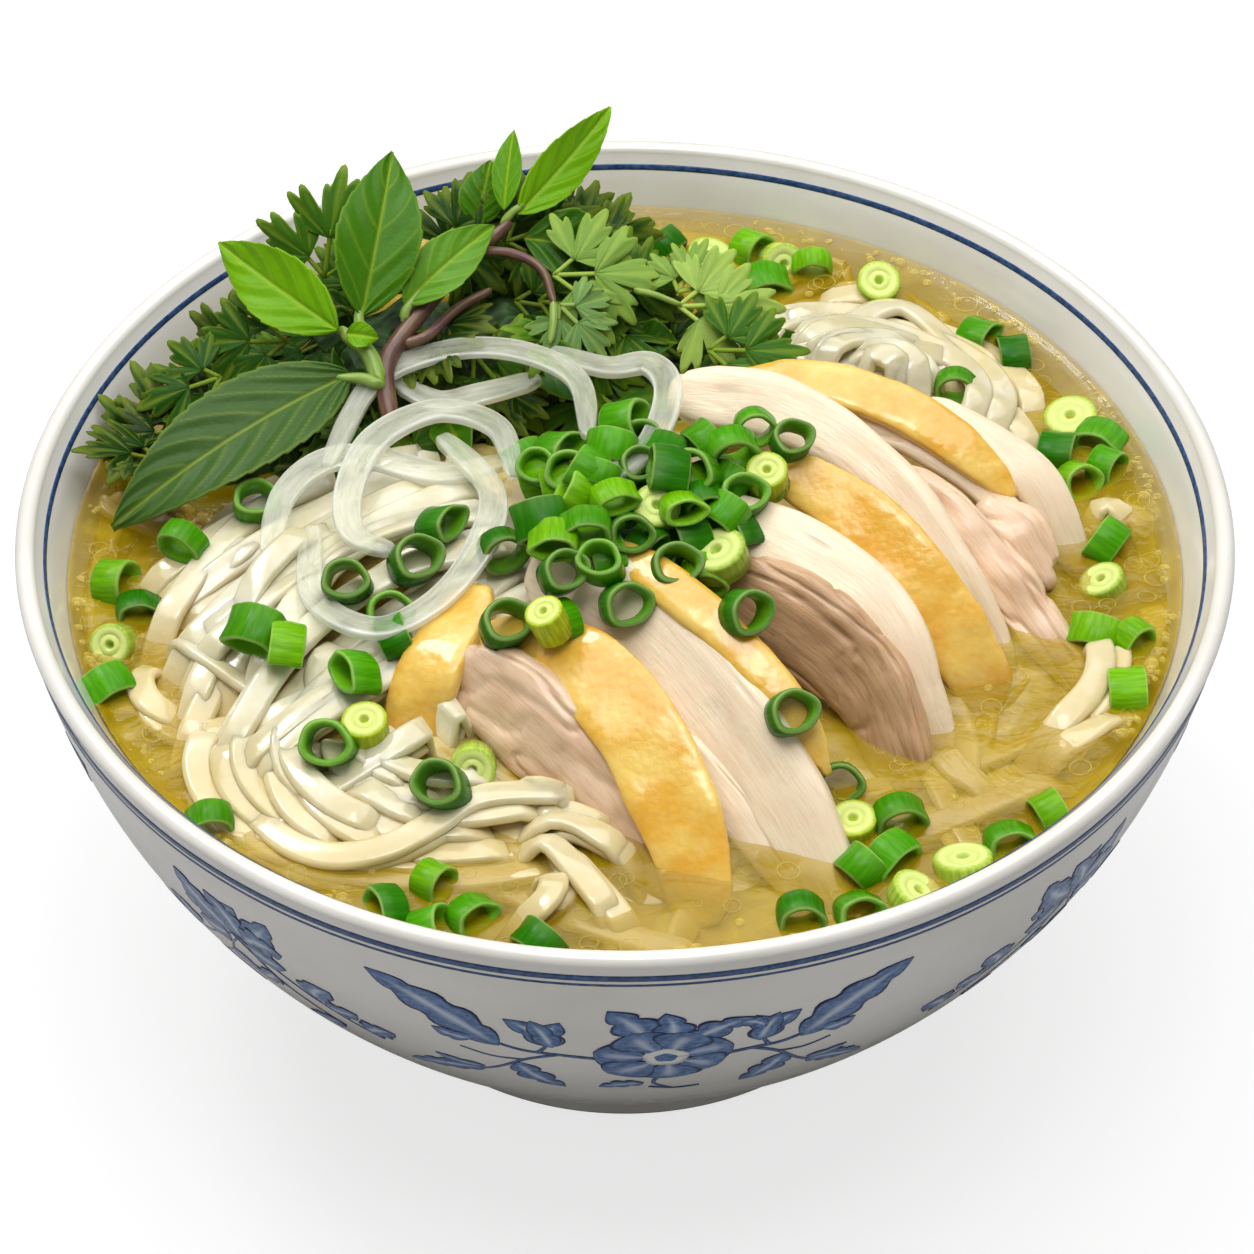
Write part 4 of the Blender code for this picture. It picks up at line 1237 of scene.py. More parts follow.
ONIONS = {
    "onion_ring_1": ([(-38, -15, 101), (-44, -11, 101), (-45, -1, 101.5), (-41, 11, 102), (-31, 17, 103),
                      (-21, 11, 104.5), (-18, -1, 104.5)], 4.6),
    "onion_ring_2": ([(-30, 12, 101), (-22, 0, 101), (-23, -13, 101), (-30, -25, 99.5), (-40, -30, 98),
                      (-50, -21, 96.5), (-51, -7, 98)], 5.0),
    "onion_ring_3": ([(-49, 8, 99), (-42, 27, 100.5), (-30, 32, 103), (-18, 28, 106.5), (-8, 18, 109),
                      (-6, 2, 111)], 4.4),
    "onion_ring_4": ([(-12, 27, 107), (-3, 21, 109), (4, 20, 110.5), (7, 11, 112.5), (4, -2, 112.5),
                      (-4, -12, 112.5)], 4.6),
    "onion_ring_5": ([(-58, -10, 95.5), (-56, 2, 97.5), (-50, 9, 98.5), (-42, 10, 98.8), (-30, 6, 98.8),
                      (-17, 9, 100)], 5.0),
    "onion_ring_6": ([(-38, 29, 98.5), (-31, 24, 98.8), (-24, 25, 99.5), (-15, 27, 101)], 4.6),
}


def make_onions():
    finish = onion_finish()
    pieces = []
    for name, (path, width) in ONIONS.items():
        widths = [width * 0.8, width, width, width * 0.8]
        rings, normals, grain = slab(path, widths, 1.7, [0, 6, 0], 0.8, 28, 0.36)
        offset = 0.04 * waves(grain, (18, 0.9, 1.5), len(pieces)) + 0.25 * waves(rings, 11.0, len(pieces) + 5)
        rim = step_up(np.abs(grain[..., 1]) / (width / 2), 0.72, 0.98)
        piece = add_slab("sliced_" + name, rings + normals * offset[..., None], finish,
                         {"grain": grain.reshape(-1, 3), "rim": rim.ravel()})
        pieces.append(set_down(piece, name))
    return pieces


# ---------------------------------------------------------------- herbs

BLUE_GREEN = rgb(66, 98, 42)
MID_GREEN = rgb(66, 118, 10)
BRIGHT_GREEN = rgb(112, 168, 6)
DEEP_GREEN = rgb(26, 64, 3)
SOFT_GREEN = rgb(122, 156, 66)

BASIL_LEAVES = {
    "basil_leaf_1": ((-46, 27, 101.5), (-85, 3, 90), 18, (-0.25, -0.45, 0.85), 3.0, BLUE_GREEN),
    "basil_leaf_2": ((-48, 32, 107), (-69, 49, 112), 12, (-0.1, -0.75, 0.6), 1.5, BRIGHT_GREEN),
    "basil_leaf_3": ((-44, 35, 107.5), (-39, 60, 123), 14.5, (0.1, -0.85, 0.5), 1.5, MID_GREEN),
    "basil_leaf_4": ((-46.5, 31, 107), (-41, 30.5, 106.5), 4.5, (-0.2, -0.6, 0.7), 0.8, BRIGHT_GREEN),
    "basil_leaf_5": ((-37, 38, 107.5), (-22, 50, 115), 9.5, (-0.3, -0.7, 0.6), 1.5, rgb(96, 148, 34)),
    "basil_leaf_6": ((-18, 54.5, 113.5), (-2, 73, 122), 8.5, (0.3, -0.75, 0.55), 1.0, BRIGHT_GREEN),
    "basil_leaf_7": ((-20.5, 55, 114), (-19, 67, 122), 5, (-0.2, -0.85, 0.45), 0.5, rgb(90, 148, 10)),
    "basil_leaf_8": ((-17, 53, 109.5), (0, 53, 104), 12, (0.1, -0.5, 0.85), 2.0, rgb(48, 96, 8)),
    "basil_leaf_9": ((-25, 58, 108), (-23, 66, 116), 8, (-0.2, -0.8, 0.5), 0.5, MID_GREEN),
}


def basil_blade(base, tip, width, facing, bow, seed, rows=46, columns=26):
    """A leaf's upper face: pointed oval, folded on its midrib, quilted between side veins."""
    base = np.array(base, float)
    length = np.array(tip, float) - base
    side = unit(np.cross(length, facing))
    normal = unit(np.cross(side, length))
    t = np.linspace(0, 1, rows)[:, None]
    v = np.linspace(-1, 1, columns + 1)[None, :]
    size = np.linalg.norm(length)
    half = width / 2 * np.maximum(np.sin(np.pi * t ** 0.8) ** 0.85, 0.05)
    teeth = max(int(size / 3.2), 4)
    saw = (t * teeth + 0.25 * np.sign(v)) % 1.0
    half = half * (1 + 0.05 * (saw - 0.4) * np.abs(v) ** 4)
    order = (t - 0.42 * np.abs(v) ** 1.3 * (1 - 0.4 * t)) * max(int(size / 7.0), 4)
    near = np.abs((order % 1.0) - 0.5) * 2
    branch = np.exp(-((1 - near) / 0.1) ** 2)
    branch = branch * step_up(np.abs(v), 0.02, 0.12) * (1 - step_up(np.abs(v), 0.84, 0.98))
    midrib = np.exp(-(v * half / 0.34) ** 2)
    quilt = 0.03 * width * near * np.sin(np.pi * np.abs(v)) ** 0.7
    wavy = 0.05 * width * np.sin(7.0 * t + seed + 2 * np.sign(v)) * v ** 2
    lift = 0.22 * half * np.abs(v) ** 1.4 + quilt + wavy - 0.28 * midrib - 0.12 * branch
    curl = bow * 4 * t * (1 - t) - 0.04 * size * t ** 3
    spine = base + length * t[..., None] + normal * curl[..., None]
    grid = spine + side * (half * v)[..., None] + normal * lift[..., None]
    veins = np.clip(midrib + 0.5 * branch, 0, 1)
    margin = step_up(np.abs(v), 0.9, 1.0) * np.ones_like(t)
    return grid, np.broadcast_to(normal, grid.shape), veins, margin


def leaf_piece(name, grid, normals, veins, margin, tint, material, thickness=0.35):
    points, faces = sheet_solid(grid, normals, thickness)
    tints = np.tile(np.asarray(tint, float), (len(points), 1))
    half = len(points) // 2
    tints[half:] = tints[half:] * 1.15 + 0.02
    layers = {"tint": tints, "vein": np.tile(veins.ravel(), 2), "margin": np.tile(margin.ravel(), 2)}
    return closed_mesh(name, points, faces, material, layers)


def fan_blade(stalk, forward, side, facing, size, seed, columns, rows):
    """One leaflet of a coriander leaf: three lobes cut into round teeth."""
    u = np.linspace(-0.5, 0.5, columns + 1)[None, :]
    r = np.linspace(0.03, 1, rows)[:, None]
    third = np.abs(np.cos(3 * np.pi * (u + 0.02 * np.sin(seed))))
    ninth = np.abs(np.cos(9 * np.pi * (u + 0.015 * np.cos(seed))))
    lobes = (0.32 + 0.68 * third ** 0.55) * (0.74 + 0.26 * ninth ** 1.1)
    reach = size * lobes * (1 - 0.3 * np.abs(2 * u) ** 2)
    angle = math.radians(165) * u
    run = reach * r
    axis = np.exp(-((1 - third) / 0.05) ** 2) * np.ones_like(r)
    twig = np.exp(-((1 - ninth) / 0.08) ** 2) * step_up(r, 0.4, 0.6)
    veins = np.clip(0.6 * axis * (1 - 0.4 * r) + 0.3 * twig, 0, 1)
    crumple = 0.035 * size * np.sin(4 * u * math.pi + seed) * r
    crumple = crumple + 0.03 * size * np.cos(7 * np.pi * u + seed) * r ** 2
    lift = -0.22 * size * (run / size) ** 2 + crumple - 0.02 * size * veins
    grid = stalk + forward * (run * np.cos(angle))[..., None]
    grid = grid + side * (run * np.sin(angle))[..., None] + facing * lift[..., None]
    margin = step_up(r, 0.9, 1.0) * np.ones_like(u)
    return grid, np.broadcast_to(facing, grid.shape), veins, margin


def coriander_leaf(name, stalk, heading, size, facing, tint, material, seed, columns=40, rows=7):
    """A whole leaf: an end leaflet and a pair beside it, on a thin branching rib."""
    facing = unit(np.array(facing, float))
    forward = np.array(heading, float)
    forward = unit(forward - facing * forward.dot(facing))
    side = np.cross(forward, facing)
    stalk = np.array(stalk, float)
    parts = []
    for turn, out, share in ((0.0, 0.36, 0.66), (62.0, 0.26, 0.6), (-62.0, 0.26, 0.6)):
        wander = math.radians(turn + 8 * math.sin(3 * seed + turn))
        ahead = forward * math.cos(wander) + side * math.sin(wander)
        beside = side * math.cos(wander) - forward * math.sin(wander)
        tilt = 0.16 * math.sin(2.1 * seed + turn)
        up = unit(facing + tilt * beside)
        base = stalk + ahead * size * out * 0.6 + forward * size * out * 0.4
        shape = fan_blade(base, ahead, beside, up, size * share, seed + turn, columns, rows)
        parts.append(leaf_piece(name, *shape, tint, material, 0.3))
        rib = np.linspace(0, 1, 6)[:, None, None]
        line = stalk + (base + ahead * size * 0.08 - stalk) * rib
        width = beside * np.array([-0.35, 0.0, 0.35])[None, :, None]
        strip = line + width - up * 0.15
        veins = np.ones(strip.shape[:2])
        normals = np.broadcast_to(up, strip.shape)
        parts.append(leaf_piece(name, strip, normals, veins, 0 * veins, tint, material, 0.5))
    return join(name, parts)


CORIANDER_LEAVES = {
    "coriander_leaf_1": ((-12, 44.5, 108.5), (1, 0.1, -0.1), 19, (0, -0.5, 0.85), SOFT_GREEN),
    "coriander_leaf_2": ((9, 43, 106), (0.5, 1, 0.2), 11, (0, -0.5, 0.85), SOFT_GREEN),
    "coriander_leaf_3": ((9, 40, 105.5), (1, 0, 0), 18, (0, -0.5, 0.85), rgb(150, 180, 84)),
    "coriander_leaf_4": ((-11, 39, 106.5), (0.7, -0.8, 0), 12, (0, -0.5, 0.85), rgb(104, 140, 76)),
    "coriander_leaf_5": ((-57, 36, 101), (-1, 0.1, 0), 17, (-0.1, -0.6, 0.75), rgb(40, 84, 8)),
    "coriander_leaf_6": ((-51, 49, 104), (0.1, 0.7, 1), 19, (-0.1, -0.85, 0.5), rgb(62, 108, 16)),
    "coriander_leaf_7": ((14, 31, 103.5), (1, -0.1, 0), 17, (0, -0.5, 0.85), rgb(52, 100, 10)),
    "coriander_leaf_8": ((-68, 31, 97.5), (-1, -0.3, -0.3), 15, (-0.1, -0.5, 0.85), rgb(34, 78, 6)),
}
# The middle of the herb heap, right and back.
HERB_CENTRE = (-27.0, 46.0)
FILLER_LEAVES = 56
HEAP_GREENS = (DEEP_GREEN, rgb(44, 90, 6), rgb(64, 114, 12), rgb(34, 80, 5))
# Where more leaves stand at the back of the heap.
BACK_FANS = ((-24, 58, 104), (-17, 61, 103), (-10, 58, 102), (-31, 55, 106), (-20, 55, 107),
             (-32, 58, 100), (-26, 60, 96), (-27, 56, 102))


def herb_spot(share, angle):
    """A place on the herb heap, its share of the way out to the edge of the CAD outline."""
    u = math.cos(angle) * share
    v = math.sin(angle) * share
    x = HERB_CENTRE[0] + 55 * u
    y = HERB_CENTRE[1] + 19.5 * v - 22 * u * u + 8.5 * u
    return x, y


def herb_height(x, y):
    u = (x + 28) / 24
    v = (y - 42) / 12
    return 97.0 + 5.0 * math.exp(-0.5 * (u * u + v * v)) + 1.4 * math.sin(0.42 * x + 0.2 * y)


def make_herbs():
    basil = leaf_finish("basil_leaf", 0.36)
    soft = leaf_finish("coriander_leaf", 0.46)
    pieces = []
    for seed, (name, (base, tip, width, facing, bow, tint)) in enumerate(BASIL_LEAVES.items()):
        shape = basil_blade(base, tip, width, facing, bow, seed, 96, 44)
        pieces.append(set_down(leaf_piece("leafy_" + name, *shape, tint, basil), name))
    for seed, (name, (stalk, heading, size, facing, tint)) in enumerate(CORIANDER_LEAVES.items()):
        piece = coriander_leaf("leafy_" + name, stalk, heading, size, facing, tint, soft, seed, 60, 9)
        pieces.append(set_down(piece, name))
    return pieces + make_filler_leaves(soft, basil) + make_stems() + [herb_core()]


def make_filler_leaves(soft, basil):
    """Many small leaves over the heap, turned every way but mostly up and to the front."""
    rng = random.Random(7)
    fans = []
    blades = []
    for i in range(FILLER_LEAVES):
        share = math.sqrt(rng.random()) * 0.97
        angle = rng.uniform(0, 2 * math.pi)
        x, y = herb_spot(share, angle)
        z = herb_height(x, y) - 11.0 * share ** 4 - rng.uniform(-0.5, 4.5)
        facing = (rng.uniform(-0.5, 0.5), rng.uniform(-0.95, 0.1), rng.uniform(0.5, 1.0))
        heading = (math.cos(angle) + rng.uniform(-0.7, 0.7), math.sin(angle) + rng.uniform(-0.8, 0.5),
                   rng.uniform(-0.5, 0.3))
        dim = rng.uniform(0.55, 1.15)
        tint = tuple(c * dim for c in rng.choice(HEAP_GREENS))
        if x > -48 and rng.random() < 0.3:
            size = rng.uniform(10, 16)
            tip = (x + heading[0] * size * 0.8, y + heading[1] * size * 0.6, z + rng.uniform(-1, 3))
            shape = basil_blade((x, y, z), tip, size * 0.55, facing, 1.2, i, 22, 14)
            blades.append(leaf_piece("blade", *shape, tint, basil))
        else:
            size = rng.uniform(13, 21)
            fans.append(coriander_leaf("fan", (x, y, z), heading, size, facing, tint, soft, i, 40, 5))
    for spot in BACK_FANS:
        fans.append(coriander_leaf("fan", spot, (0.9, 0.4, 0.1), 17, (0, -0.7, 0.7), DEEP_GREEN, soft,
                                   spot[0], 40, 5))
    made = []
    heaps = (("coriander_heap", fans, "coriander_leaf"), ("basil_heap", blades, "basil_leaf"))
    for name, group, slot in heaps:
        for piece in group:
            keep_in_bowl(piece)
        made.append(set_down(join(name, group)))
    return made


def keep_in_bowl(piece):
    """Draws in the points that would pass the bowl's wall below its rim."""
    for vertex in piece.data.vertices:
        x, y, z = (c / MM for c in vertex.co)
        if z < BOWL_HEIGHT + 1:
            limit = float(inner_radius(min(z, BOWL_HEIGHT - 0.5))) - 1.0
            reach = math.hypot(x, y)
            if reach > limit:
                vertex.co.x *= limit / reach
                vertex.co.y *= limit / reach


def herb_core():
    """The heap under the leaves, dark with the painted shade of its finish."""
    sides = 72
    rows = []
    for share in np.linspace(0.02, 1, 26):
        row = []
        for angle in np.linspace(0, 2 * math.pi, sides, endpoint=False):
            x, y = herb_spot(share * 0.93, angle)
            z = herb_height(x, y) - 4.5 - 13.0 * share ** 5
            row.append((x, y, z))
        rows.append(row)
    grid = np.array(rows)
    grid[..., 2] += 1.2 * waves(grid, 4.0, 21)
    floor = grid[-1] * [0.96, 0.96, 0] + [0, 0, 81.0]
    grid = np.concatenate([grid, floor[None]])
    faces = grid_faces(len(grid), sides) + end_faces(len(grid), sides)
    piece = add_mesh("herb_core", grid, faces, herb_core_finish())
    keep_in_bowl(piece)
    turn_outward(piece)
    return set_down(piece, "herb_bed")


STEMS = {
    "basil_stem_1": ([(-39, 20, 97), (-40, 29, 101), (-36, 36, 104.5), (-27, 47, 109), (-20, 53, 112)],
                     [1.7, 1.6, 1.4, 1.1], "purple_stem"),
    "basil_stem_2": ([(-41, 26, 101), (-43, 30, 103.5), (-47, 33, 105.5)], [1.6, 1.5, 1.2], "green_stem"),
    "coriander_stem_1": ([(-25, 48, 110.8), (-19, 47, 111), (-14, 44, 110), (-12, 39, 107)],
                         [0.9, 0.8, 0.7], "purple_stem"),
    "twig_1": ([(-37, 33, 103), (-33, 34, 104), (-28, 40, 105), (-23, 43, 106)],
               [1.0, 0.9, 0.7], "purple_stem"),
    "twig_2": ([(-41, 25, 101), (-44, 26, 101.4), (-47.5, 26, 101.5)], [1.1, 1.0, 0.7], "green_stem"),
    "twig_3": ([(-12, 39, 107), (-12, 36, 105.5), (-12.5, 33, 103.5)], [0.7, 0.7, 0.6], "green_stem"),
    "twig_4": ([(2, 42, 107), (5, 41, 107), (9, 40, 105.8)], [0.6, 0.6, 0.5], "green_stem"),
    "twig_5": ([(-20.5, 54, 112), (-19, 55, 113.5), (-17.5, 55.5, 114.3)], [0.8, 0.7, 0.6], "green_stem"),
    "twig_6": ([(-44, 33, 105), (-44.5, 35, 107), (-44, 38, 109)], [1.1, 0.9, 0.6], "green_stem"),
    "twig_7": ([(-37, 36.5, 105.5), (-36.5, 37.5, 107), (-34, 40, 109)], [0.9, 0.8, 0.5], "green_stem"),
}


def make_stems():
    finishes = {"purple_stem": stem_finish("purple_stem", rgb(92, 56, 58), rgb(120, 92, 62)),
                "green_stem": stem_finish("green_stem", rgb(120, 158, 52), rgb(150, 176, 84))}
    pieces = []
    for name, (path, radii, kind) in STEMS.items():
        widths = [2 * radius for radius in radii]
        thickness = list(run_along(widths, np.linspace(0, 1, len(path))))
        rings, normals, grain = slab(path, widths, thickness, [0, 0], 0.5, 14, 1.0, True)
        swell = 0.08 * waves(rings, 3.0, len(pieces))
        piece = add_slab("stalk_" + name, rings + normals * swell[..., None], finishes[kind],
                         {"grain": grain.reshape(-1, 3)})
        pieces.append(set_down(piece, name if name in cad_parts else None))
    return pieces


# ---------------------------------------------------------------- sliced scallion

FRESH = rgb(80, 158, 4)
DARKER = rgb(46, 122, 2)
LEAFY = rgb(120, 184, 8)
PALE = rgb(190, 212, 84)
YELLOW = rgb(200, 214, 50)


def tube_slice(name, radius, length, wall, oval, lobes):
    """A hollow slice of scallion standing on its end, its rims rounded, a little out of round."""
    sides = 30
    half = length / 2
    hole = radius - wall
    middle = radius - wall / 2
    profile = [(radius, -half + 0.3), (radius, 0.0), (radius, half - 0.3), (radius - 0.25, half - 0.02),
               (middle, half + 0.06), (hole + 0.2, half - 0.05), (hole, half - 0.4), (hole, 0.0),
               (hole, -half + 0.4), (hole + 0.2, -half + 0.05), (middle, -half - 0.06),
               (radius - 0.25, -half + 0.02)]
    rings = turned(profile, sides)
    angles = 2 * np.pi * np.arange(sides) / sides
    swell = 1 + lobes * np.cos(3 * angles + 0.7) + 0.5 * lobes * np.cos(5 * angles)
    rings[..., 0] *= (swell * (1 + oval))[:, None]
    rings[..., 1] *= (swell * (1 - oval))[:, None]
    rings[..., 0] += 0.05 * rings[..., 2] ** 2
    cut = np.tile([0, 0, 0.05, 0.4, 0.2, 0.1, 0, 0, 0, 0.1, 0.2, 0.4], sides)
    inside = np.tile([0, 0, 0, 0, 0, 0, 1, 1, 1, 0, 0, 0], sides)
    layers = {"cut": cut, "inside": inside, "grain": rings.reshape(-1, 3)}
    return closed_mesh(name, rings, hoop_faces(sides, len(profile)), None, layers)


def solid_slice(name, radius, length):
    """A slice from the white end: rings within rings, each standing a little proud of the next."""
    sides = 30
    rings_within = 2
    half = length / 2
    steps = np.linspace(0.04, 1, 26)
    crown = 0.3 * np.abs(np.sin(np.pi * rings_within * steps)) ** 0.6 - 1.1 * (1 - step_up(steps, 0.08, 0.26))
    profile = [(radius * s, half + c) for s, c in zip(steps, crown)]
    profile += [(radius, half - 0.5), (radius, 0.0), (radius, -half)]
    profile += [(radius * s, -half) for s in (0.6, 0.04)]
    rings = turned(profile, sides)
    faces = wrap_faces(sides, len(profile)) + pole_faces(sides, len(profile))
    # The cut face is palest on the proud rings, less pale in the grooves and darker green in the centre pit,
    # which also takes the inner green: painted shade.
    bright = np.concatenate([(0.75 + 0.8 * crown) * (1 - step_up(steps, 0.74, 0.96)), [0, 0, 0, 0.6, 0.6]])
    bright = np.clip(bright, 0, 1)
    shade = np.concatenate([1 - step_up(steps, 0.1, 0.26), np.zeros(5)])
    layers = {"cut": np.tile(bright, sides), "inside": np.tile(shade * 0.6, sides),
              "grain": rings.reshape(-1, 3)}
    return closed_mesh(name, rings, faces, None, layers)


# Where slices lie, in millimetres: right, back, and how: o shows its hole, s lies on its side,
# p is a pale disc, b a pale barrel and c a yellow one.
LOOSE_SLICES = [
    (-73, -2, "s"), (-84, -6, "s"), (-80, -12, "s"), (-83, -19, "b"), (-83, -30, "s"), (-65, -61, "s"),
    (-37, -79, "s"), (-30, -74, "s"), (-24, -81, "s"), (-30, -84, "s"), (-13, -87, "s"), (-61, 5, "o"),
    (-59, -29, "s"), (-54, -32, "s"), (-43, -38, "s"), (-47, -51, "o"), (-41, -47, "c"), (-29, -59, "o"),
    (-24, -52, "b"), (-37, -30, "s"), (34, -52, "o"), (36, -61, "c"), (43, -60, "s"), (37, -71, "s"),
    (42, -68, "s"), (27, -81, "s"), (36, -80, "s"), (45, -76, "p"), (53, -70, "p"), (60, -65, "s"),
    (67, -59, "s"), (77, -18, "s"), (83, -19, "s"), (81, -31, "s"), (80, 4, "s"), (79, -5, "p"),
    (73, 27, "s"), (80, 30, "s"), (81, 23, "s"), (76, 19, "s"), (56, 38, "s"), (0, 82, "s"), (7, 81, "s"),
    (15, 78, "p"), (22, 80, "s"), (27, 78, "b"), (33, 76, "s"), (44, 70, "b"), (61, 57, "s"),
    (67, 52, "s"), (76, 36, "p"), (24, 71, "s"),
]
HIGH_SLICES = [
    (-45, -20, "o"), (-38, -24, "o"), (-30, -8, "s"), (-20, -14, "s"), (-34, -16, "o"),
    (19, -37, "o"), (26, -52, "o"), (-19, -34, "o"), (0, -33, "o"),
]
PILE_SLICES = [
    (-12, -37, "c"), (-10, -29, "o"), (8, -27, "o"), (5, -15, "p"), (15, -22, "p"), (14, -35, "o"),
    (1, -22, "o"), (-2, -16, "s"), (-14, -2, "o"), (0, 5, "s"), (-8, -12, "s"), (-13, -19, "s"),
    (-6, -9, "s"), (13, -1, "s"), (11, -8, "o"), (19, -11, "o"), (23, -6, "c"), (27, 1, "o"),
    (-16, 6, "s"), (-11, 2, "s"), (-6, -22, "s"), (-4, -28, "o"), (-4, -10, "s"), (6, -3, "s"),
    (9, -17, "s"), (2, -7, "o"), (-9, -6, "o"), (3, 1, "o"), (16, -15, "s"), (21, 4, "s"), (-2, -3, "s"),
    (12, -13, "s"), (7, -9, "s"), (-11, -24, "s"), (17, -3, "s"),
]


PILE_TOP = 111.2


def make_scallions(ground):
    rng = random.Random(23)
    finish = scallion_finish()
    bases = {"wide": tube_slice("wide", 3.8, 4.6, 1.1, 0.08, 0.04),
             "oval": tube_slice("oval", 3.5, 5.4, 1.1, 0.24, 0.06),
             "pale": solid_slice("pale", 4.5, 4.0), "barrel": solid_slice("barrel", 3.6, 6.2)}
    rows = {kind: [] for kind in bases}
    tree = surface_tree(ground)
    for group, lift in ((LOOSE_SLICES, 0.0), (HIGH_SLICES, 0.6)):
        for x, y, how in group:
            z = drop_height(tree, x, y)
            sink = 3.1 if z < BROTH_LEVEL + 1.5 else 0.9
            place_slice(rows, rng, x, y, z - sink + lift, how)
    for number, (x, y, how) in enumerate(PILE_SLICES):
        top = PILE_TOP - 0.004 * (x - 4) ** 2 - 0.012 * (y + 9 - 0.6 * (x - 4)) ** 2
        place_slice(rows, rng, x, y, top + rng.uniform(-1.6, 0.9) - 2.6, how)
        if number % 2 == 0:
            place_slice(rows, rng, x + rng.uniform(-3, 3), y + rng.uniform(-3, 3), top - 6.6, "s")
    pieces = []
    for kind, base in bases.items():
        places, turns, sizes, tints = (np.array([row[i] for row in rows[kind]]) for i in range(4))
        piece = copies("scallion_" + kind, base, places, turns, sizes, finish, {"tint": tints})
        pieces.append(set_down(piece))
        bpy.data.objects.remove(base)
    pieces.append(scallion_core(finish))
    return pieces


def drop_height(tree, x, y):
    """The highest surface near a spot, or the broth's level."""
    heights = [BROTH_LEVEL]
    for dx, dy in ((0, 0), (2, 0), (-2, 0), (0, 2), (0, -2)):
        hit = tree.ray_cast(Vector(((x + dx) * MM, (y + dy) * MM, 0.2)), Vector((0, 0, -1)))
        if hit[0] is not None:
            heights.append(hit[0].z / MM)
    heights = sorted(heights[1:]) or heights
    return max(heights[len(heights) // 2], BROTH_LEVEL)


def place_slice(rows, rng, x, y, z, how):
    """Adds one slice's place, turn, size and colour."""
    heading = rng.uniform(0, 2 * math.pi)
    if how == "s":
        turn = (math.radians(rng.uniform(58, 98)), 0.0, heading)
        lift = 3.6
    elif how == "o":
        turn = (math.radians(rng.uniform(20, 55)), 0.0, rng.uniform(-0.7, 0.7))
        lift = 3.2
    else:
        turn = (math.radians(rng.uniform(2, 24)), math.radians(rng.uniform(-10, 10)), heading)
        lift = 2.0
    side_kind = rng.choice(("wide", "oval", "oval"))
    kind = {"s": side_kind, "o": "wide", "p": "pale", "b": "barrel", "c": "barrel"}[how]
    side_tint = rng.choice((FRESH, FRESH, DARKER, LEAFY))
    hole_tint = rng.choice((FRESH, DARKER))
    tint = {"s": side_tint, "o": hole_tint, "p": PALE, "b": PALE, "c": YELLOW}[how]
    if how == "b":
        turn = (math.radians(rng.uniform(25, 60)), 0.0, rng.uniform(-0.8, 0.8))
    dim = rng.uniform(0.85, 1.12)
    size = rng.uniform(0.86, 1.1)
    sizes = (size, size, size * rng.uniform(0.85, 1.2))
    rows[kind].append(((x, y, z + lift), turn, sizes, tuple(c * dim for c in tint)))


def scallion_core(finish):
    """A knoll inside the pile, tinted half the darker green: painted shade between the slices."""
    sides = 40
    lean = 0.576
    rows = []
    for share in np.linspace(0.03, 1, 14):
        row = []
        for angle in np.linspace(0, 2 * math.pi, sides, endpoint=False):
            u = 23 * math.cos(angle) * share
            v = 9 * math.sin(angle) * share
            x = 4 + u * math.cos(lean) - v * math.sin(lean)
            y = -8 + u * math.sin(lean) + v * math.cos(lean)
            row.append((x, y, 105.0 - 7.0 * share ** 3))
        rows.append(row)
    grid = np.array(rows)
    grid[..., 2] += 1.0 * waves(grid, 3.0, 4)
    grid = np.concatenate([grid, grid[-1:] * [1, 1, 0] + [0, 0, 97.5]])
    faces = grid_faces(len(grid), sides) + end_faces(len(grid), sides)
    count = len(grid) * sides
    # The tint, half the darker green, is painted shade inside the pile.
    layers = {"cut": np.zeros(count), "inside": np.zeros(count), "grain": grid.reshape(-1, 3),
              "tint": np.tile(np.array(DARKER) * 0.5, (count, 1))}
    return set_down(closed_mesh("scallion_core", grid, faces, finish, layers), "scallion_heap")


# ---------------------------------------------------------------- oil

BEAD_TRIES = 620
HOOP_TRIES = 520


def bead_base():
    """A flat round bead that floats half sunk."""
    angles = np.radians([4, 25, 45, 65, 85, 110, 150, 176])
    profile = [(math.sin(a), 0.42 * math.cos(a)) for a in angles]
    sides = 14
    faces = wrap_faces(sides, len(profile)) + pole_faces(sides, len(profile))
    return closed_mesh("bead", turned(profile, sides), faces, None)


def hoop_base():
    """The bright outline of a spread drop."""
    sides = 26
    corners = 6
    angles = np.linspace(0, 2 * math.pi, corners, endpoint=False)
    section = [(1 + 0.06 * math.cos(a), 0.05 * math.sin(a)) for a in angles]
    return closed_mesh("hoop", turned(section, sides), hoop_faces(sides, corners), None)


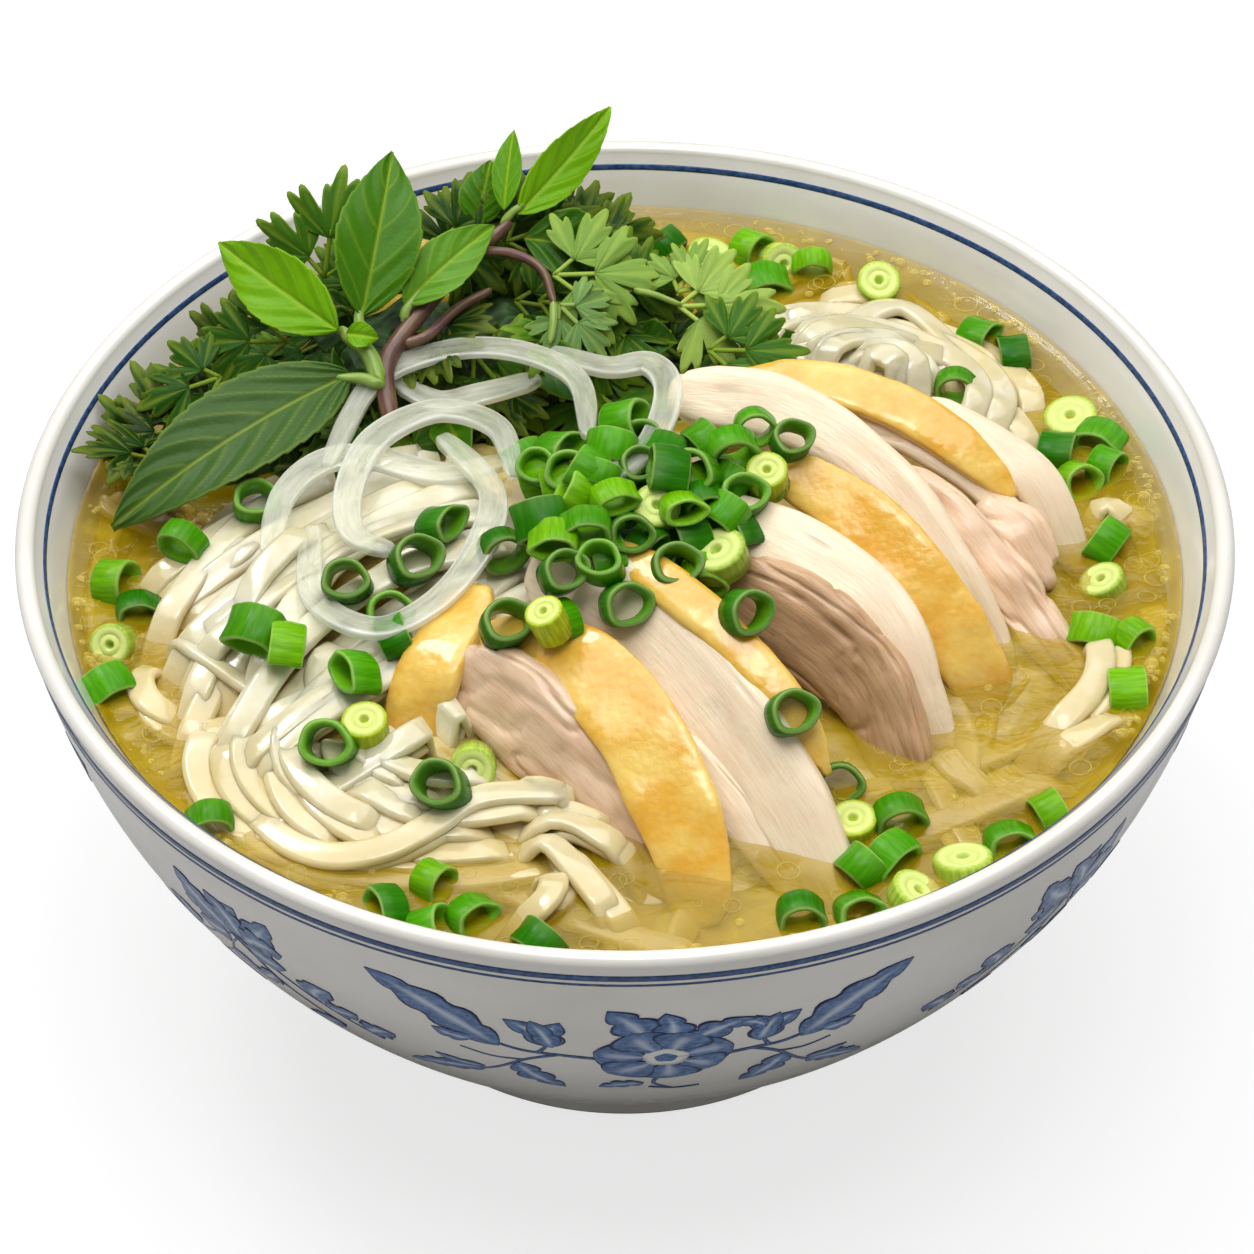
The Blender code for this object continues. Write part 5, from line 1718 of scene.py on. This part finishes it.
def make_oil(ground):
    """Beads strung along the wall and scattered on the broth, and the outlines of wider drops."""
    rng = random.Random(5)
    tree = surface_tree(ground)
    edge = float(inner_radius(BROTH_LEVEL))
    beads = []
    hoops = []
    for _ in range(BEAD_TRIES):
        angle = rng.uniform(0, 2 * math.pi)
        near_wall = rng.random() < 0.72
        reach = edge - rng.uniform(0.8, 3.4) if near_wall else rng.uniform(30, edge - 4)
        x = reach * math.cos(angle)
        y = reach * math.sin(angle)
        if near_wall and waves(np.array([x, y, 0.0]), 9.0, 11) < -0.15:
            continue
        if not clear_of(tree, x, y):
            continue
        size = rng.uniform(0.3, 0.85) * (1.0 if rng.random() < 0.85 else 1.6)
        beads.append(((x, y, float(skin_height(reach)) + 0.12), size))
    for _ in range(HOOP_TRIES):
        angle = rng.uniform(0, 2 * math.pi)
        reach = edge - 2.5 - rng.random() ** 1.6 * 40
        x = reach * math.cos(angle)
        y = reach * math.sin(angle)
        if clear_of(tree, x, y):
            hoops.append(((x, y, float(skin_height(reach)) + 0.16), rng.uniform(0.6, 2.0)))
    finish = oil_finish()
    for name, base, rows in (("oil_beads", bead_base(), beads), ("oil_outlines", hoop_base(), hoops)):
        places = [row[0] for row in rows]
        turns = [(0.0, 0.0, rng.uniform(0, 6)) for _ in rows]
        sizes = [(row[1], row[1] * rng.uniform(0.7, 1.0), row[1]) for row in rows]
        piece = copies(name, base, places, turns, np.array(sizes), finish)
        bpy.data.objects.remove(base)
        set_down(piece)


def clear_of(tree, x, y):
    """True where the broth's surface is open to the sky."""
    hit = tree.ray_cast(Vector((x * MM, y * MM, 0.2)), Vector((0, 0, -1)))
    return hit[0] is None or hit[0].z < (BROTH_LEVEL + 0.2) * MM


# ---------------------------------------------------------------- studio

def make_studio():
    paper = Finish("paper", Roughness=0.9, Emission_Color=(1.0, 1.0, 1.0))
    seen = paper.add("ShaderNodeLightPath").outputs["Is Camera Ray"]
    paper.put("Base Color", paper.mix(seen, (0.5, 0.5, 0.5), (0.28, 0.28, 0.28)))
    paper.put("Emission Strength", paper.maths("MULTIPLY", seen, 0.73))
    size = 3000.0
    floor = add_mesh("floor", [(-size, -size, 0), (size, -size, 0), (size, size, 0), (-size, size, 0)],
                     [(0, 1, 2, 3)], paper.material)
    world = bpy.data.worlds.new("studio")
    world.use_nodes = True
    background = world.node_tree.nodes["Background"]
    background.inputs["Color"].default_value = (1.0, 1.0, 1.0, 1.0)
    background.inputs["Strength"].default_value = 0.26
    bpy.context.scene.world = world
    area_light("overhead", (0.0, 0.25, 1.4), 1.9, 21.5)
    area_light("front", (0.0, -0.35, 1.5), 0.5, 3.0)
    area_light("window", (-0.55, 0.45, 1.1), 0.35, 3.0)
    view = bpy.context.scene.view_settings
    view.view_transform = "Standard"
    view.look = "None"


def area_light(name, place, size, power):
    light = bpy.data.lights.new(name, "AREA")
    light.shape = "DISK"
    light.size = size
    light.energy = power
    lamp = bpy.data.objects.new(name, light)
    lamp.location = place
    aim = Vector((0, 0, 0.06)) - Vector(place)
    lamp.rotation_euler = aim.to_track_quat("-Z", "Y").to_euler()
    bpy.context.scene.collection.objects.link(lamp)


def make_camera():
    camera = bpy.data.cameras.new("view")
    camera.sensor_width = 36.0
    camera.lens = 157.3
    viewer = bpy.data.objects.new("view", camera)
    distance = 0.9
    elevation = math.radians(42.326)
    rim = BOWL_HEIGHT * MM
    viewer.location = (0.00033, -distance * math.cos(elevation), rim + distance * math.sin(elevation))
    viewer.rotation_euler = (math.radians(46.516), 0.0, 0.0)
    bpy.context.scene.collection.objects.link(viewer)
    bpy.context.scene.camera = viewer


# ---------------------------------------------------------------- the dish

def main():
    make_studio()
    make_camera()
    make_bowl()
    make_decoration()
    skin = make_broth()
    chicken = make_chicken()
    onions = make_onions()
    herbs = make_herbs()
    cover = surface_tree(chicken + onions + herbs)
    noodles = make_noodles(cover)
    slices = make_scallions([skin, *chicken, *noodles])
    make_oil([*chicken, *onions, *herbs, *noodles, *slices])


main()
